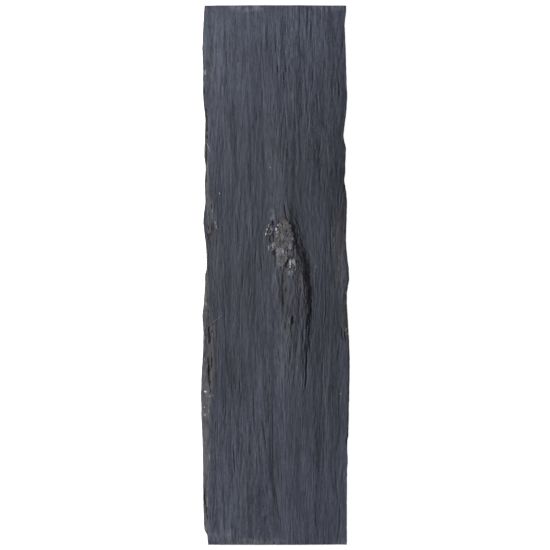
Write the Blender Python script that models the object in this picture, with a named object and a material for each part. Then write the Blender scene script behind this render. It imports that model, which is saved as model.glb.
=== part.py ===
"""A slab of natural cleft slate, one stone, lying on its back with the cleft face up.

Both short ends are sawn square. Both long sides are broken, so they are ragged, sloped and layered. The
cleft face is ribbed along its length, and a spindle-shaped knot stands out of it near the middle: the knot
rises gently from the left and breaks off in a steep face on its right, and a crust of lumps sits on its top.

Frame: X across the slab, Y along it to the head end, Z out of the cleft face. The origin is the middle of
the back, which lies on Z = 0. Sizes below are in millimetres, and MM turns them into metres.
"""

import math

import bmesh
import bpy
import numpy as np

MM = 0.001

# Driving sizes.
LENGTH = 1000.0
THICKNESS = 30.0  # of the sheet of slate, away from the knot
END_BEVEL = (6.0, 1.6)  # worn strip along each sawn end: its length along Y and its drop
CHIP_RISE = 3.0  # how far the flakes lost along the back's long edges reach into the slab
CHIP_REACH = 38.0  # how far in from those edges they go
UNDERCUT = 6.0  # how far the long sides lean in from their widest line to the back

# The broken outline, seen from the front: (distance along Y, X of the widest line).
LEFT_OUTLINE = (
    (500, -131.4), (470, -133.6), (420, -135.6), (380, -134.0), (345, -134.7), (322, -133.7),
    (290, -130.1), (255, -131.4), (222, -132.4), (196, -129.7), (168, -131.7), (135, -130.1),
    (112, -133.1), (96, -134.0), (68, -130.6), (38, -127.9), (12, -127.6), (2, -130.5),
    (-20, -131.4), (-54, -133.5), (-76, -136.0), (-108, -134.1), (-142, -134.6), (-176, -137.1),
    (-220, -138.7), (-258, -138.2), (-296, -136.3), (-352, -134.7), (-418, -134.2), (-464, -133.0),
    (-474, -131.9), (-481, -126.6), (-500, -125.0),
)
RIGHT_OUTLINE = (
    (500, 131.9), (488, 131.5), (464, 128.8), (424, 130.8), (380, 131.9), (330, 133.9),
    (302, 132.1), (280, 129.2), (258, 126.7), (236, 131.4), (190, 130.1), (176, 128.0),
    (158, 131.6), (136, 133.4), (90, 132.3), (68, 131.3), (36, 133.5), (12, 136.6),
    (-10, 137.4), (-32, 133.5), (-54, 133.2), (-88, 135.5), (-120, 137.4), (-164, 138.6),
    (-232, 137.5), (-298, 136.0), (-306, 134.2), (-320, 133.8), (-346, 134.7), (-362, 133.5),
    (-420, 133.1), (-500, 133.2),
)

# The sloped band that is left of each broken side, seen from the front:
# (distance along Y, width of the band, drop from the cleft face to the widest line).
LEFT_BAND = (
    (500, 1.0, 2.0), (306, 1.2, 2.0), (278, 5.5, 7.0), (232, 6.5, 10.0), (150, 7.0, 9.0),
    (132, 16.0, 5.0), (108, 24.0, 5.5), (80, 20.0, 5.0), (66, 3.5, 5.0), (13, 2.6, 5.0),
    (-2, 7.0, 10.0), (-48, 7.5, 11.0), (-70, 15.0, 9.0), (-94, 22.0, 10.0), (-140, 24.0, 12.0),
    (-204, 22.0, 13.0), (-224, 16.0, 13.0), (-288, 15.0, 12.0), (-362, 11.0, 11.0), (-418, 8.5, 9.0),
    (-468, 8.0, 11.0), (-478, 1.6, 3.0), (-500, 1.0, 2.0),
)
RIGHT_BAND = (
    (500, 1.0, 2.0), (280, 1.2, 2.0), (256, 4.0, 6.0), (230, 3.0, 5.0), (160, 3.0, 5.0),
    (140, 13.0, 3.0), (66, 20.0, 3.2), (24, 12.0, 4.6), (-18, 15.0, 7.0), (-84, 12.0, 8.0),
    (-104, 6.0, 8.0), (-130, 4.5, 7.0), (-232, 4.5, 7.0), (-298, 3.5, 6.0), (-320, 1.8, 4.0),
    (-500, 1.2, 2.0),
)

# The knot: (distance along Y, X of the left toe of its gentle side, X of its crest, X of the foot of its
# steep face, height of the crest over the sheet, drop of the ground at the foot under the sheet).
KNOT = (
    (500, -10, 14, 19, 0.0, 0.0), (330, -10, 14, 21, 0.0, 0.0), (214, -14, 16, 24, 0.3, 0.1),
    (158, -20, 16, 26, 0.5, 0.2), (130, -28, 17, 27, 1.0, 0.3), (110, -34, 19, 29, 2.2, 0.7),
    (93, -38, 23, 34, 4.4, 1.2), (80, -39, 27, 38, 6.0, 1.6), (71, -40, 30, 41, 7.0, 1.8),
    (60, -38, 32, 44, 7.7, 2.0), (50, -37, 34, 47, 8.2, 2.2), (42, -35, 37, 50, 8.5, 2.4),
    (35, -31, 40, 53, 8.6, 2.5), (22, -24, 45, 56, 8.6, 2.6), (4, -16, 48, 60, 8.0, 2.6),
    (-20, -11, 54, 64, 6.9, 2.5), (-46, -9, 57, 66, 5.8, 2.3), (-76, -9, 56, 65, 4.7, 2.0),
    (-104, -9, 55, 63, 3.6, 1.5), (-139, -9, 53, 61, 2.6, 1.0), (-176, -9, 52, 58, 1.8, 0.6),
    (-204, -9, 51, 57, 1.2, 0.4), (-245, -8, 50, 56, 0.6, 0.2), (-290, -5, 50, 55, 0.3, 0.0),
    (-330, -4, 50, 55, 0.0, 0.0), (-387, 0, 50, 55, 0.0, 0.0), (-448, 9, 51, 56, 0.0, 0.0),
    (-500, 16, 52, 57, 0.0, 0.0),
)
FOOT_FADE = 55.0  # how far right of the knot the lower ground takes to rise again

# The fold below the knot, along the same line as the toe: (distance along Y, how much of it there is).
FOLD = ((500, 0.0), (-250, 0.0), (-335, 0.9), (-387, 1.0), (-448, 0.9), (-500, 0.6))
FOLD_CREST = (1.1, 18.0)  # rise left of the groove and its width
FOLD_DROP = (1.0, 22.0)  # fall right of the groove and how far it takes to rise again
FOLD_STEP = 12.0  # width of the groove's left wall

# Lumps of the crust on the knot, the long ridges of its tail, and the pits and hollow between them:
# (X, Y, half-width, half-length, height).
CRUST = (
    (14, 98, 9, 9, 2.2), (6, 86, 8, 10, 2.6), (24, 80, 9, 11, 2.4),
    (15, 66, 10, 12, 2.6), (27, 55, 9, 11, 2.4), (11, 45, 10, 12, 3.0), (11, 24, 12, 15, 2.8),
    (32, 21, 9, 11, 3.2), (29, 3, 6, 7, 1.8), (-15, 83, 6, 10, 1.8), (-8, 90, 5, 8, 1.6), (-6, 54, 7, 9, 2.0),
)
RIDGES = ((38, -50, 6, 40, 0.9), (0, -30, 6, 34, 0.8), (50, -26, 5, 36, 0.8))
PITS = (
    (-3, 97, 4, 5, 1.8), (-5, 67, 6, 8, 1.8), (-1, 41, 4, 5, 2.0), (23, 20, 4, 7, 2.4), (32, -84, 3, 7, 2.4),
    (17, -30, 6, 32, 1.5),
)

# Panels across the cleft face, each with its number of strips: left band, left field, the knot's gentle
# side, its steep face, right field and right band.
STRIPS = (3, 8, 14, 3, 8, 2)
BACK_STRIPS = 8
LEVELS = 5  # layers of a broken side

# Stretches along Y, each with its number of rows, closest together at the knot.
STRETCHES = (
    (-500, 0), (-494, 1), (-300, 12), (-120, 13), (0, 12), (130, 23), (310, 11), (494, 10), (500, 1),
)

SLATE_COLOUR = (0.064, 0.069, 0.085, 1.0)
SLATE_ROUGHNESS = 0.72


def noise(x, y, seed):
    """Smooth noise from -1 to 1: random numbers at whole x and y, eased in between."""
    side = 64
    table = np.random.default_rng(seed).uniform(-1.0, 1.0, (side, side))
    i, j = np.floor(x).astype(int), np.floor(y).astype(int)
    fx, fy = ease(x - i), ease(y - j)
    near = table[i % side, j % side] * (1 - fx) + table[(i + 1) % side, j % side] * fx
    far = table[i % side, (j + 1) % side] * (1 - fx) + table[(i + 1) % side, (j + 1) % side] * fx
    return near * (1 - fy) + far * fy


def ease(t):
    """0 to 1 with a level start and end."""
    t = np.clip(t, 0.0, 1.0)
    return t * t * (3.0 - 2.0 * t)


def read(table, y, column):
    """The number in one column of a table at distance y, in a straight line between its rows."""
    rows = np.array(table, float)[::-1]
    return np.interp(y, rows[:, 0], rows[:, column])


def divided(bounds_and_counts):
    """Positions that split each stretch, given as its end and its number of steps, into equal steps."""
    positions = []
    start = bounds_and_counts[0][0]
    for end, steps in bounds_and_counts[1:]:
        positions += [start + (end - start) * k / steps for k in range(steps)]
        start = end
    return positions + [start]


def panel_lines(y):
    """X of the seven lines between the panels of the cleft face, from the left side to the right."""
    left = read(LEFT_OUTLINE, y, 1)
    right = read(RIGHT_OUTLINE, y, 1)
    return [
        left,
        left + read(LEFT_BAND, y, 1),
        read(KNOT, y, 1),
        read(KNOT, y, 2),
        read(KNOT, y, 3),
        right - read(RIGHT_BAND, y, 1),
        right,
    ]


def across(u, y):
    """X of block line u: whole numbers are the panels' edges, and the rest lie evenly between them."""
    lines = np.array(panel_lines(y))
    panel = np.clip(np.floor(u).astype(int), 0, len(STRIPS) - 1)
    spot = np.arange(len(u))
    start, end = lines[panel, spot], lines[panel + 1, spot]
    return start + (end - start) * (u - panel)


def sheet(x, y):
    """Height of the cleft face without the knot: warped, ribbed along Y and a little lower on the right."""
    warp = 1.2 * noise(x / 95.0 + 7.0, y / 240.0 + 3.0, 1)
    ribs = 0.9 * noise(x / 17.0, y / 190.0, 2) + 0.5 * noise(x / 9.0, y / 110.0, 3)
    lean = -2.6 * ease((x - 40.0) / 95.0) - 0.8 * ease((-x - 90.0) / 45.0)
    return THICKNESS + warp + ribs + lean


def fold(x, y):
    """Height of the fold: a rounded crest, a short fall to its groove, and ground that rises again slowly."""
    beyond = x - read(KNOT, y, 1)
    crest = FOLD_CREST[0] * np.exp(-((np.minimum(beyond + FOLD_STEP, 0.0) / FOLD_CREST[1]) ** 2))
    ground = -FOLD_DROP[0] * np.exp(-np.maximum(beyond, 0.0) / FOLD_DROP[1])
    return read(FOLD, y, 1) * (crest + (ground - crest) * ease(beyond / FOLD_STEP + 1.0))


def knot(x, y):
    """Height that the knot adds: a gentle rise to its crest, a steep face, and lower ground that fades out."""
    toe, crest, foot = read(KNOT, y, 1), read(KNOT, y, 2), read(KNOT, y, 3)
    gentle = read(KNOT, y, 4) * ease((x - toe) / (crest - toe))
    ground = -read(KNOT, y, 5) * np.exp(-np.maximum(x - foot, 0.0) / FOOT_FADE)
    return gentle + (ground - gentle) * ease((x - crest) / (foot - crest))


def bumps(x, y, spots):
    """Height of oval bumps with flat tops: each has its place, half-width, half-length and height; the highest
    counts."""
    height = np.zeros_like(x)
    for centre_x, centre_y, half_x, half_y, top in spots:
        away = np.hypot((x - centre_x) / half_x, (y - centre_y) / half_y)
        height = np.maximum(height, top * ease((1.25 - away) * 1.6))
    return height


def side_drop(x, y):
    """Fall of the cleft face over the sloped band of each broken side, in a few uneven ledges."""
    left = np.clip(1.0 - (x - read(LEFT_OUTLINE, y, 1)) / read(LEFT_BAND, y, 1), 0.0, 1.0)
    right = np.clip(1.0 - (read(RIGHT_OUTLINE, y, 1) - x) / read(RIGHT_BAND, y, 1), 0.0, 1.0)
    ledges = 1.0 + 0.22 * noise(y / 26.0, (left + right) * 3.0, 4)
    return (left**1.05 * read(LEFT_BAND, y, 2) + right**1.05 * read(RIGHT_BAND, y, 2)) * ledges


def end_drop(y):
    """Fall of the worn strip along each sawn end."""
    length, drop = END_BEVEL
    return drop * np.clip((np.abs(y) - (LENGTH / 2 - length)) / length, 0.0, 1.0)


def front_height(x, y):
    """Z of the whole cleft face."""
    stone = sheet(x, y) + fold(x, y) + knot(x, y) + bumps(x, y, RIDGES) - bumps(x, y, PITS)
    return stone + bumps(x, y, CRUST) - side_drop(x, y) - end_drop(y)


def side_inset(y, w, seed):
    """How far a broken side lies inside its widest line at level w, from 0 at the back to 1 at the front."""
    lean = UNDERCUT * (0.7 + 0.5 * noise(y / 60.0, np.full_like(y, 5.0), seed)) * (1.0 - w) ** 1.4
    layers = 3.2 * np.clip(noise(y / 30.0, w * 9.0, seed + 1), 0.0, 1.0) * ease((1.0 - w) * 6.0)
    return lean + layers


def back_height(x, y, left, right):
    """Z of the back: flat on the ground, with thin flakes lost along its two long edges."""
    height = np.zeros_like(x)
    for seed, inward in ((21, x - left), (22, right - x)):
        lost = np.clip(1.7 * noise(y / 55.0, np.full_like(y, 2.0), seed), 0.0, 1.0)
        height = np.maximum(height, CHIP_RISE * lost * np.clip(1.0 - inward / CHIP_REACH, 0.0, 1.0))
    return height


def shaped(block):
    """Moves the points of the scored block, (u, y, w), to their places on the slab, in millimetres."""
    u, y, w = block.T
    top_u = np.where(u < len(STRIPS) / 2, 0.0, float(len(STRIPS)))
    left = read(LEFT_OUTLINE, y, 1) + side_inset(y, np.zeros_like(y), 11)
    right = read(RIGHT_OUTLINE, y, 1) - side_inset(y, np.zeros_like(y), 13)

    front_x = across(u, y)
    front_z = front_height(front_x, y)

    back_x = left + (right - left) * u / len(STRIPS)
    back_z = back_height(back_x, y, left, right)

    edge_x = across(top_u, y)
    edge_z = front_height(edge_x, y)
    on_left = top_u == 0.0
    inset = np.where(on_left, side_inset(y, w, 11), -side_inset(y, w, 13))
    foot_z = back_height(np.where(on_left, left, right), y, left, right)
    side_x = edge_x + inset
    side_z = foot_z + (edge_z - foot_z) * w

    at_front, at_back = w > 0.999, w < 0.001
    x = np.where(at_front, front_x, np.where(at_back, back_x, side_x))
    z = np.where(at_front, front_z, np.where(at_back, back_z, side_z))
    return np.stack([x, y, z], axis=1)


def cut(bm, faces, position, axis):
    """Scores a straight line across these faces where the given axis has this position."""
    point, normal = [0.0, 0.0, 0.0], [0.0, 0.0, 0.0]
    point[axis], normal[axis] = position, 1.0
    parts = set(faces)
    parts.update(edge for face in faces for edge in face.edges)
    parts.update(vert for face in faces for vert in face.verts)
    bmesh.ops.bisect_plane(bm, geom=list(parts), plane_co=point, plane_no=normal)


def facing(bm, axis, sign):
    """The block's faces on one side."""
    return [face for face in bm.faces if face.normal[axis] * sign > 0.9]


def scored_block():
    """A block from a cube: u from 0 to 6 across, Y along, w from 0 to 1 through, scored into strips and rows."""
    bm = bmesh.new()
    bmesh.ops.create_cube(bm, size=1.0)
    bmesh.ops.translate(bm, verts=bm.verts, vec=(0.5, 0.0, 0.5))
    bmesh.ops.scale(bm, verts=bm.verts, vec=(len(STRIPS), LENGTH, 1.0))
    bm.normal_update()
    for y in divided(STRETCHES)[1:-1]:
        cut(bm, bm.faces[:], y, 1)
    for level in range(1, LEVELS):
        cut(bm, facing(bm, 0, -1) + facing(bm, 0, 1), level / LEVELS, 2)
    for u in divided([(0, 0)] + [(k + 1, strips) for k, strips in enumerate(STRIPS)])[1:-1]:
        cut(bm, facing(bm, 2, 1), u, 0)
    for strip in range(1, BACK_STRIPS):
        cut(bm, facing(bm, 2, -1), len(STRIPS) * strip / BACK_STRIPS, 0)
    return bm


def slate():
    """Dull dark blue-grey slate."""
    material = bpy.data.materials.new("slate")
    material.use_nodes = True
    shader = material.node_tree.nodes["Principled BSDF"]
    shader.inputs["Base Color"].default_value = SLATE_COLOUR
    shader.inputs["Roughness"].default_value = SLATE_ROUGHNESS
    shader.inputs["Metallic"].default_value = 0.0
    material.diffuse_color = SLATE_COLOUR
    return material


def slab():
    """The one stone: the scored block with its points moved to the slab's surface."""
    bm = scored_block()
    mesh = bpy.data.meshes.new("slate_slab")
    bm.to_mesh(mesh)
    bm.free()
    block = np.empty(len(mesh.vertices) * 3, np.float32)
    mesh.vertices.foreach_get("co", block)
    places = shaped(block.reshape(-1, 3).astype(float)) * MM
    mesh.vertices.foreach_set("co", places.astype(np.float32).ravel())
    mesh.update()
    mesh.shade_smooth()
    mesh.set_sharp_from_angle(angle=math.radians(28))
    mesh.materials.append(slate())
    return bpy.data.objects.new("slate_slab", mesh)


def main():
    for old in list(bpy.data.objects):
        bpy.data.objects.remove(old)
    collection = bpy.data.collections.new("slate_slab")
    bpy.context.scene.collection.children.link(collection)
    collection.objects.link(slab())


main()
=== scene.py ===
"""The finished look of a slab of natural cleft slate that lies on its back on a pale studio floor.

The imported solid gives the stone's main form and its place. The pieces below follow the same form at a much
finer pitch: a skin of stone, the mineral crust on its knot, and pale flecks. The tables are in millimetres.
"""

import math

import bpy
import numpy as np
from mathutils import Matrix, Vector


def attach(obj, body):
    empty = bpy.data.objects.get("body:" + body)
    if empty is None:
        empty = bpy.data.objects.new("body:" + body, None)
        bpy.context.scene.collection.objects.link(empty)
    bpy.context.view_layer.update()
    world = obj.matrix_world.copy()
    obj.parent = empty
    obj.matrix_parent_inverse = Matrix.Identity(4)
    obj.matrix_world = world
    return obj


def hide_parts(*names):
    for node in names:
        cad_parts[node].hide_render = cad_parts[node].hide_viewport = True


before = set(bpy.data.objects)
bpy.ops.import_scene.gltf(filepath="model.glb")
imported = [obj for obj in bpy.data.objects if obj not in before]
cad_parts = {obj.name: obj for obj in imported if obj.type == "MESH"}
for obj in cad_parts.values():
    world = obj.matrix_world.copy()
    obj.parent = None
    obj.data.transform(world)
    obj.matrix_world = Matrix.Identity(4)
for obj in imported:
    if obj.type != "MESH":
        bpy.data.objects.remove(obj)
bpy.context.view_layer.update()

# ---------------------------------------------------------------------------------------------------------
# The stone. The real piece is one sheet of dark blue-grey slate, split by hand along its cleavage, with
# both short ends sawn square and both long sides broken. Its cleft face is a mat of fibres that run along
# the slab and swerve round a spindle-shaped knot. It isn't fixed: it lies on its flat back.
# ---------------------------------------------------------------------------------------------------------

MM = 0.001
NODE = "slate_slab"
LENGTH = 1000
THICKNESS = 30  # of the sheet, without the knot

# The solid's own lines, repeated: (distance along Y, X of the widest line of the broken side).
LEFT_OUTLINE = (
    (500, -131.4), (470, -133.6), (420, -135.6), (380, -134), (345, -134.7), (322, -133.7), (290, -130.1),
    (255, -131.4), (222, -132.4), (196, -129.7), (168, -131.7), (135, -130.1), (112, -133.1), (96, -134),
    (68, -130.6), (38, -127.9), (12, -127.6), (2, -130.5), (-20, -131.4), (-54, -133.5), (-76, -136),
    (-108, -134.1), (-142, -134.6), (-176, -137.1), (-220, -138.7), (-258, -138.2), (-296, -136.3),
    (-352, -134.7), (-418, -134.2), (-464, -133), (-474, -131.9), (-481, -126.6), (-500, -125),
)
RIGHT_OUTLINE = (
    (500, 131.9), (488, 131.5), (464, 128.8), (424, 130.8), (380, 131.9), (330, 133.9), (302, 132.1),
    (280, 129.2), (258, 126.7), (236, 131.4), (190, 130.1), (176, 128), (158, 131.6), (136, 133.4),
    (90, 132.3), (68, 131.3), (36, 133.5), (12, 136.6), (-10, 137.4), (-32, 133.5), (-54, 133.2),
    (-88, 135.5), (-120, 137.4), (-164, 138.6), (-232, 137.5), (-298, 136), (-306, 134.2), (-320, 133.8),
    (-346, 134.7), (-362, 133.5), (-420, 133.1), (-500, 133.2),
)
# (distance along Y, width of the sloped band along the side, its drop from the cleft face). Some widths
# differ from the solid's, by up to 5 mm.
LEFT_BAND = (
    (500, 1, 2), (306, 1.2, 2), (278, 5.5, 7), (232, 6.8, 10), (150, 8.6, 9), (132, 16, 5), (108, 24, 5.5),
    (80, 20, 5), (66, 3.5, 5), (13, 2.6, 5), (-2, 7, 10), (-48, 7.5, 11), (-70, 15, 9), (-94, 22, 10),
    (-140, 24, 12), (-204, 22, 13), (-224, 16, 13), (-288, 13.8, 12), (-362, 11.8, 11), (-418, 11.4, 9),
    (-468, 9.8, 11), (-478, 1.6, 3), (-500, 1, 2),
)
RIGHT_BAND = (
    (500, 1, 2), (280, 1.2, 2), (256, 4, 6), (230, 3, 5), (160, 3, 5), (140, 8, 3), (110, 14, 3),
    (66, 20, 3.2), (24, 12, 4.6), (-18, 15, 7), (-84, 12, 8), (-104, 6, 8), (-130, 4.5, 7), (-232, 4.5, 7),
    (-298, 3.5, 6), (-320, 1.8, 4), (-500, 1.2, 2),
)
# The knot: (distance along Y, X of its left toe, X of its crest, X of the foot of its steep face,
# height of the crest over the sheet, drop of the ground at the foot). Beside the crust its crest lies up to
# 7 mm farther right than the solid's, and its foot up to 12 mm.
KNOT = (
    (500, -10, 14, 19, 0, 0), (330, -10, 14, 21, 0, 0), (214, -14, 16, 24, 0.3, 0.1),
    (158, -20, 17, 28, 0.5, 0.2), (130, -28, 19, 32, 1.1, 0.3), (110, -34, 26, 41, 2.4, 0.7),
    (93, -38, 30, 45, 4.6, 1.2), (80, -39, 32, 47, 6, 1.6), (71, -40, 33.5, 48.5, 7, 1.8),
    (60, -38, 34, 50.5, 7.7, 2), (50, -37, 35.5, 53, 8.2, 2.2), (42, -35, 38, 55, 8.5, 2.4),
    (35, -31, 41, 57, 8.6, 2.5), (22, -24, 46, 60, 8.6, 2.6), (4, -16, 49, 62, 8, 2.6),
    (-20, -11, 54, 64, 6.9, 2.5), (-46, -9, 57, 66, 5.8, 2.3), (-76, -9, 56, 65, 4.7, 2),
    (-104, -9, 55, 63, 3.6, 1.5), (-139, -9, 53, 61, 2.6, 1), (-176, -9, 52, 58, 1.8, 0.6),
    (-204, -9, 51, 57, 1.2, 0.4), (-245, -8, 50, 56, 0.6, 0.2), (-290, -5, 50, 55, 0.3, 0),
    (-330, -4, 50, 55, 0, 0), (-387, 0, 50, 55, 0, 0), (-448, 9, 51, 56, 0, 0), (-500, 16, 52, 57, 0, 0),
)
FOOT_FADE = 55  # how far right of the knot the lower ground takes to rise again
# The fold below the knot, along the same line as the toe: (distance along Y, how much of it there is).
FOLD = ((500, 0), (-250, 0), (-335, 0.9), (-387, 1), (-448, 0.9), (-500, 0.6))
FOLD_CREST = (1.1, 18)  # rise left of the groove and its width
FOLD_DROP = (1, 22)  # fall right of the groove and how far it takes to rise again
FOLD_STEP = 12  # width of the groove's left wall
# The tail's long ridges, and the pits beside the crust and in the tail: (X, Y, half-width, half-length,
# height or depth).
RIDGES = ((38, -50, 6, 40, 0.9), (0, -30, 6, 34, 0.8), (50, -26, 5, 36, 0.8))
PITS = (
    (-3, 97, 4, 5, 1.8), (-5, 67, 6, 8, 1.8), (-1, 41, 4, 5, 2), (23, 20, 4, 7, 2.4), (32, -84, 3, 7, 2.4),
    (17, -30, 6, 32, 1.5),
)

# A guide fibre left of the knot: (distance along Y, its X). With the knot's crest it steers the fibres
# between them.
GUIDE = (
    (500, -12), (158, -13), (110, -15), (71, -17), (22, -16), (-20, -14), (-139, -12), (-290, -8),
    (-387, -4), (-448, 4), (-500, 10),
)
# Where the guide and, as (distance along Y, place), the crest lie on the grain's own scale.
GUIDE_HOME = -14
CREST_HOME = (
    (500, 14), (158, 17), (110, 24), (71, 29), (42, 32), (4, 39), (-46, 44), (-139, 48), (-290, 50),
    (-500, 52),
)
STEEP_GRAIN = 9  # width of the steep face on that scale
REACH = 45  # how far left of the guide and right of the foot the fibres still swerve


def ease(t):
    """0 to 1 with a level start and end: 3 t squared less 2 t cubed."""
    t = np.clip(t, 0, 1)
    return t * t * (3 - 2 * t)


def noise(x, y, seed, side=64):
    """Smooth noise from -1 to 1: random numbers at whole x and y, eased in between."""
    table = np.random.default_rng(seed).uniform(-1, 1, (side, side))
    i, j = np.floor(x).astype(int), np.floor(y).astype(int)
    fx, fy = ease(x - i), ease(y - j)
    near = table[i % side, j % side] * (1 - fx) + table[(i + 1) % side, j % side] * fx
    far = table[i % side, (j + 1) % side] * (1 - fx) + table[(i + 1) % side, (j + 1) % side] * fx
    return near * (1 - fy) + far * fy


def streaks(across, along, width, length, seed):
    """Noise drawn out along the fibres: width across them, length along them, each row shifted by its own
    amount so that no two neighbouring streaks start together, and wandering a little from side to side."""
    wander = 0.22 * noise(across / (4 * width), along / (1.5 * length), seed + 500)
    shift = 3 * noise(across / (1.7 * width), np.zeros_like(along), seed + 600, 256)
    return noise(across / width + wander, along / length + shift, seed, 256)


def read(table, y, column):
    """The number in one column of a table at distance y, in a straight line between its rows."""
    rows = np.array(table, float)[::-1]
    return np.interp(y, rows[:, 0], rows[:, column])


def sheet(x, y):
    """Height of the cleft face without the knot: a warp, ribs along Y and a lean to the right."""
    warp = 1.2 * noise(x / 95 + 7, y / 240 + 3, 1)
    ribs = 0.9 * noise(x / 17, y / 190, 2) + 0.5 * noise(x / 9, y / 110, 3)
    lean = -2.6 * ease((x - 40) / 95) - 0.8 * ease((-x - 90) / 45)
    return THICKNESS + warp + ribs + lean


def fold(x, y):
    """Height of the fold below the knot: a bell-shaped crest, an eased fall over a ragged edge, and ground
    that decays."""
    beyond = x - read(KNOT, y, 1) + 2.6 * noise(y / 27, x / 30, 45) + 1.6 * noise(y / 9, x / 12, 46)
    crest = FOLD_CREST[0] * np.exp(-((np.minimum(beyond + FOLD_STEP, 0) / FOLD_CREST[1]) ** 2))
    ground = -FOLD_DROP[0] * np.exp(-np.maximum(beyond, 0) / FOLD_DROP[1])
    return read(FOLD, y, 1) * (crest + (ground - crest) * ease(beyond / FOLD_STEP + 1))


def steep_face(t, y):
    """Share of the knot's fall that is done a share t of the way down its steep face. The edge is ragged.
    Beside the head it is done in two steps with a ledge between, and beside the tail it is done late."""
    t = t + 0.24 * noise(y / 24, np.zeros_like(y), 41, 256) + 0.18 * noise(y / 7, 5 * t, 42, 256)
    early = 0.50 * ease(t / 0.34) + 0.12 * np.clip(t, 0, 1) + 0.38 * ease((t - 0.66) / 0.32)
    late = 0.25 * ease(t / 0.6) + 0.75 * ease((t - 0.46) / 0.52)
    head = ease((y - 30) / 20)
    return np.clip(head * early + (1 - head) * late, 0, 1)


def knot(x, y):
    """Height that the knot adds: an eased rise to its crest, the steep face, and low ground that decays."""
    toe, crest, foot = read(KNOT, y, 1), read(KNOT, y, 2), read(KNOT, y, 3)
    gentle = read(KNOT, y, 4) * ease((x - toe) / (crest - toe))
    ground = -read(KNOT, y, 5) * np.exp(-np.maximum(x - foot, 0) / FOOT_FADE)
    return gentle + (ground - gentle) * steep_face((x - crest) / (foot - crest), y)


LUMP_EDGE = (1.25, 0.625)  # where the edge of a lump or a pit ends, and its width, in half-widths
STAIN_EDGE = (1.35, 0.7)  # the same for a stain


def apart(x, y, centre_x, centre_y, half_x, half_y):
    """How far a place lies from the middle of an oval, in the oval's own half-widths and half-lengths."""
    return np.hypot((x - centre_x) / half_x, (y - centre_y) / half_y)


def ovals(x, y, spots, end, width):
    """The highest of soft-edged ovals, each (X, Y, half-width, half-length, height): full inside, and eased
    to 0 over an edge of the given end and width."""
    height = np.zeros_like(x)
    for *place, top in spots:
        height = np.maximum(height, top * ease((end - apart(x, y, *place)) / width))
    return height


def band_depth(x, y):
    """How far into the left and right broken bands a place is, from 0 at a ragged line on the cleft face to
    1 at the widest line."""
    ragged = 1 + 0.14 * noise(y / 21, x / 40, 57) + 0.12 * noise(y / 8.5, x / 9, 58, 256)
    left = np.clip(1 - (x - read(LEFT_OUTLINE, y, 1)) / (read(LEFT_BAND, y, 1) * ragged), 0, 1)
    right = np.clip(1 - (read(RIGHT_OUTLINE, y, 1) - x) / (read(RIGHT_BAND, y, 1) * ragged), 0, 1)
    return left, right


def stepped(height, step, jitter):
    """A slope broken into the thin layers of the slate: whole steps, each with a short eased riser."""
    count = height / step + jitter
    return (np.floor(count) + ease((count - np.floor(count) - 0.62) / 0.38) - jitter) * step


def band_slope(left, right, y):
    """Smooth fall of the two broken bands at depths left and right into them. The right band stays nearly
    level and falls at its rim."""
    ledges = 1 + 0.22 * noise(y / 26, (left + right) * 3, 4)
    fall = 0.32 * right**1.6 + 0.30 * ease((right - 0.82) / 0.18)
    return (left**1.05 * read(LEFT_BAND, y, 2) + fall * read(RIGHT_BAND, y, 2)) * ledges


# The upper left band's sound sheet and its lost corner: (X, Y, half-width, half-length).
SOUND_SHEET = (-128, 104, 12, 34)
LOST_CORNER = (-117, 84, 8, 19)


def whole(x, y):
    """Share of the left band that is sound slate: most of the oval sheet, less the oval lost corner."""
    corner = ease(1.5 - apart(x, y, *LOST_CORNER))
    return 0.92 * ease(1.6 - apart(x, y, *SOUND_SHEET)) * (1 - 0.9 * corner)


BAND_LAYER = 2.3  # thickness of the layers that the broken bands show
END_BEVEL = (6, 1.6)  # length and drop of the worn strip along each sawn end


def side_drop(x, y):
    """Fall of the cleft face over the broken bands: their slope, broken into layers, roughened and cracked.
    The right band is smoother than the left."""
    left, right = band_depth(x, y)
    slope = band_slope(left, right, y)
    jitter = 0.9 * noise(y / 19, x / 7, 51, 256) + 0.4 * noise(y / 6, x / 3, 52, 256)
    rough = 0.55 * noise(y / 4.5, x / 3.2, 53, 256) + 0.3 * noise(y / 2.6, x / 1.7, 54, 256)
    cracked = ease(2.4 * noise(y / 40, x / 20, 56))
    fissures = 2.6 * (1 - np.abs(streaks(x, y, 3.4, 34, 55))) ** 5 * cracked
    inside = (ease(left * 5) + 0.3 * ease(right * 5)) * (1 - 0.85 * whole(x, y))
    return slope + inside * (0.65 * (stepped(slope, BAND_LAYER, jitter) - slope) - rough + fissures)


def end_drop(x, y):
    """Fall of the worn strip along each sawn end: a bevel whose length comes and goes, a little rounded."""
    length, drop = END_BEVEL
    reach = length + 2.2 * noise(x / 23, np.sign(y) * 3, 61) + 1.2 * noise(x / 6, np.sign(y) * 5, 62)
    near = np.clip((np.abs(y) - (LENGTH / 2 - reach)) / reach, 0, 1)
    return drop * near**0.8


def broad_form(x, y):
    """Z of the cleft face without fibres, scars and crust: the sheet with the fold, the knot, its ridges
    and its pits, less the fall of the broken bands and of the worn ends."""
    stone = sheet(x, y) + fold(x, y) + knot(x, y)
    stone = stone + ovals(x, y, RIDGES, *LUMP_EDGE) - ovals(x, y, PITS, *LUMP_EDGE)
    return stone - side_drop(x, y) - end_drop(x, y)


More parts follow.
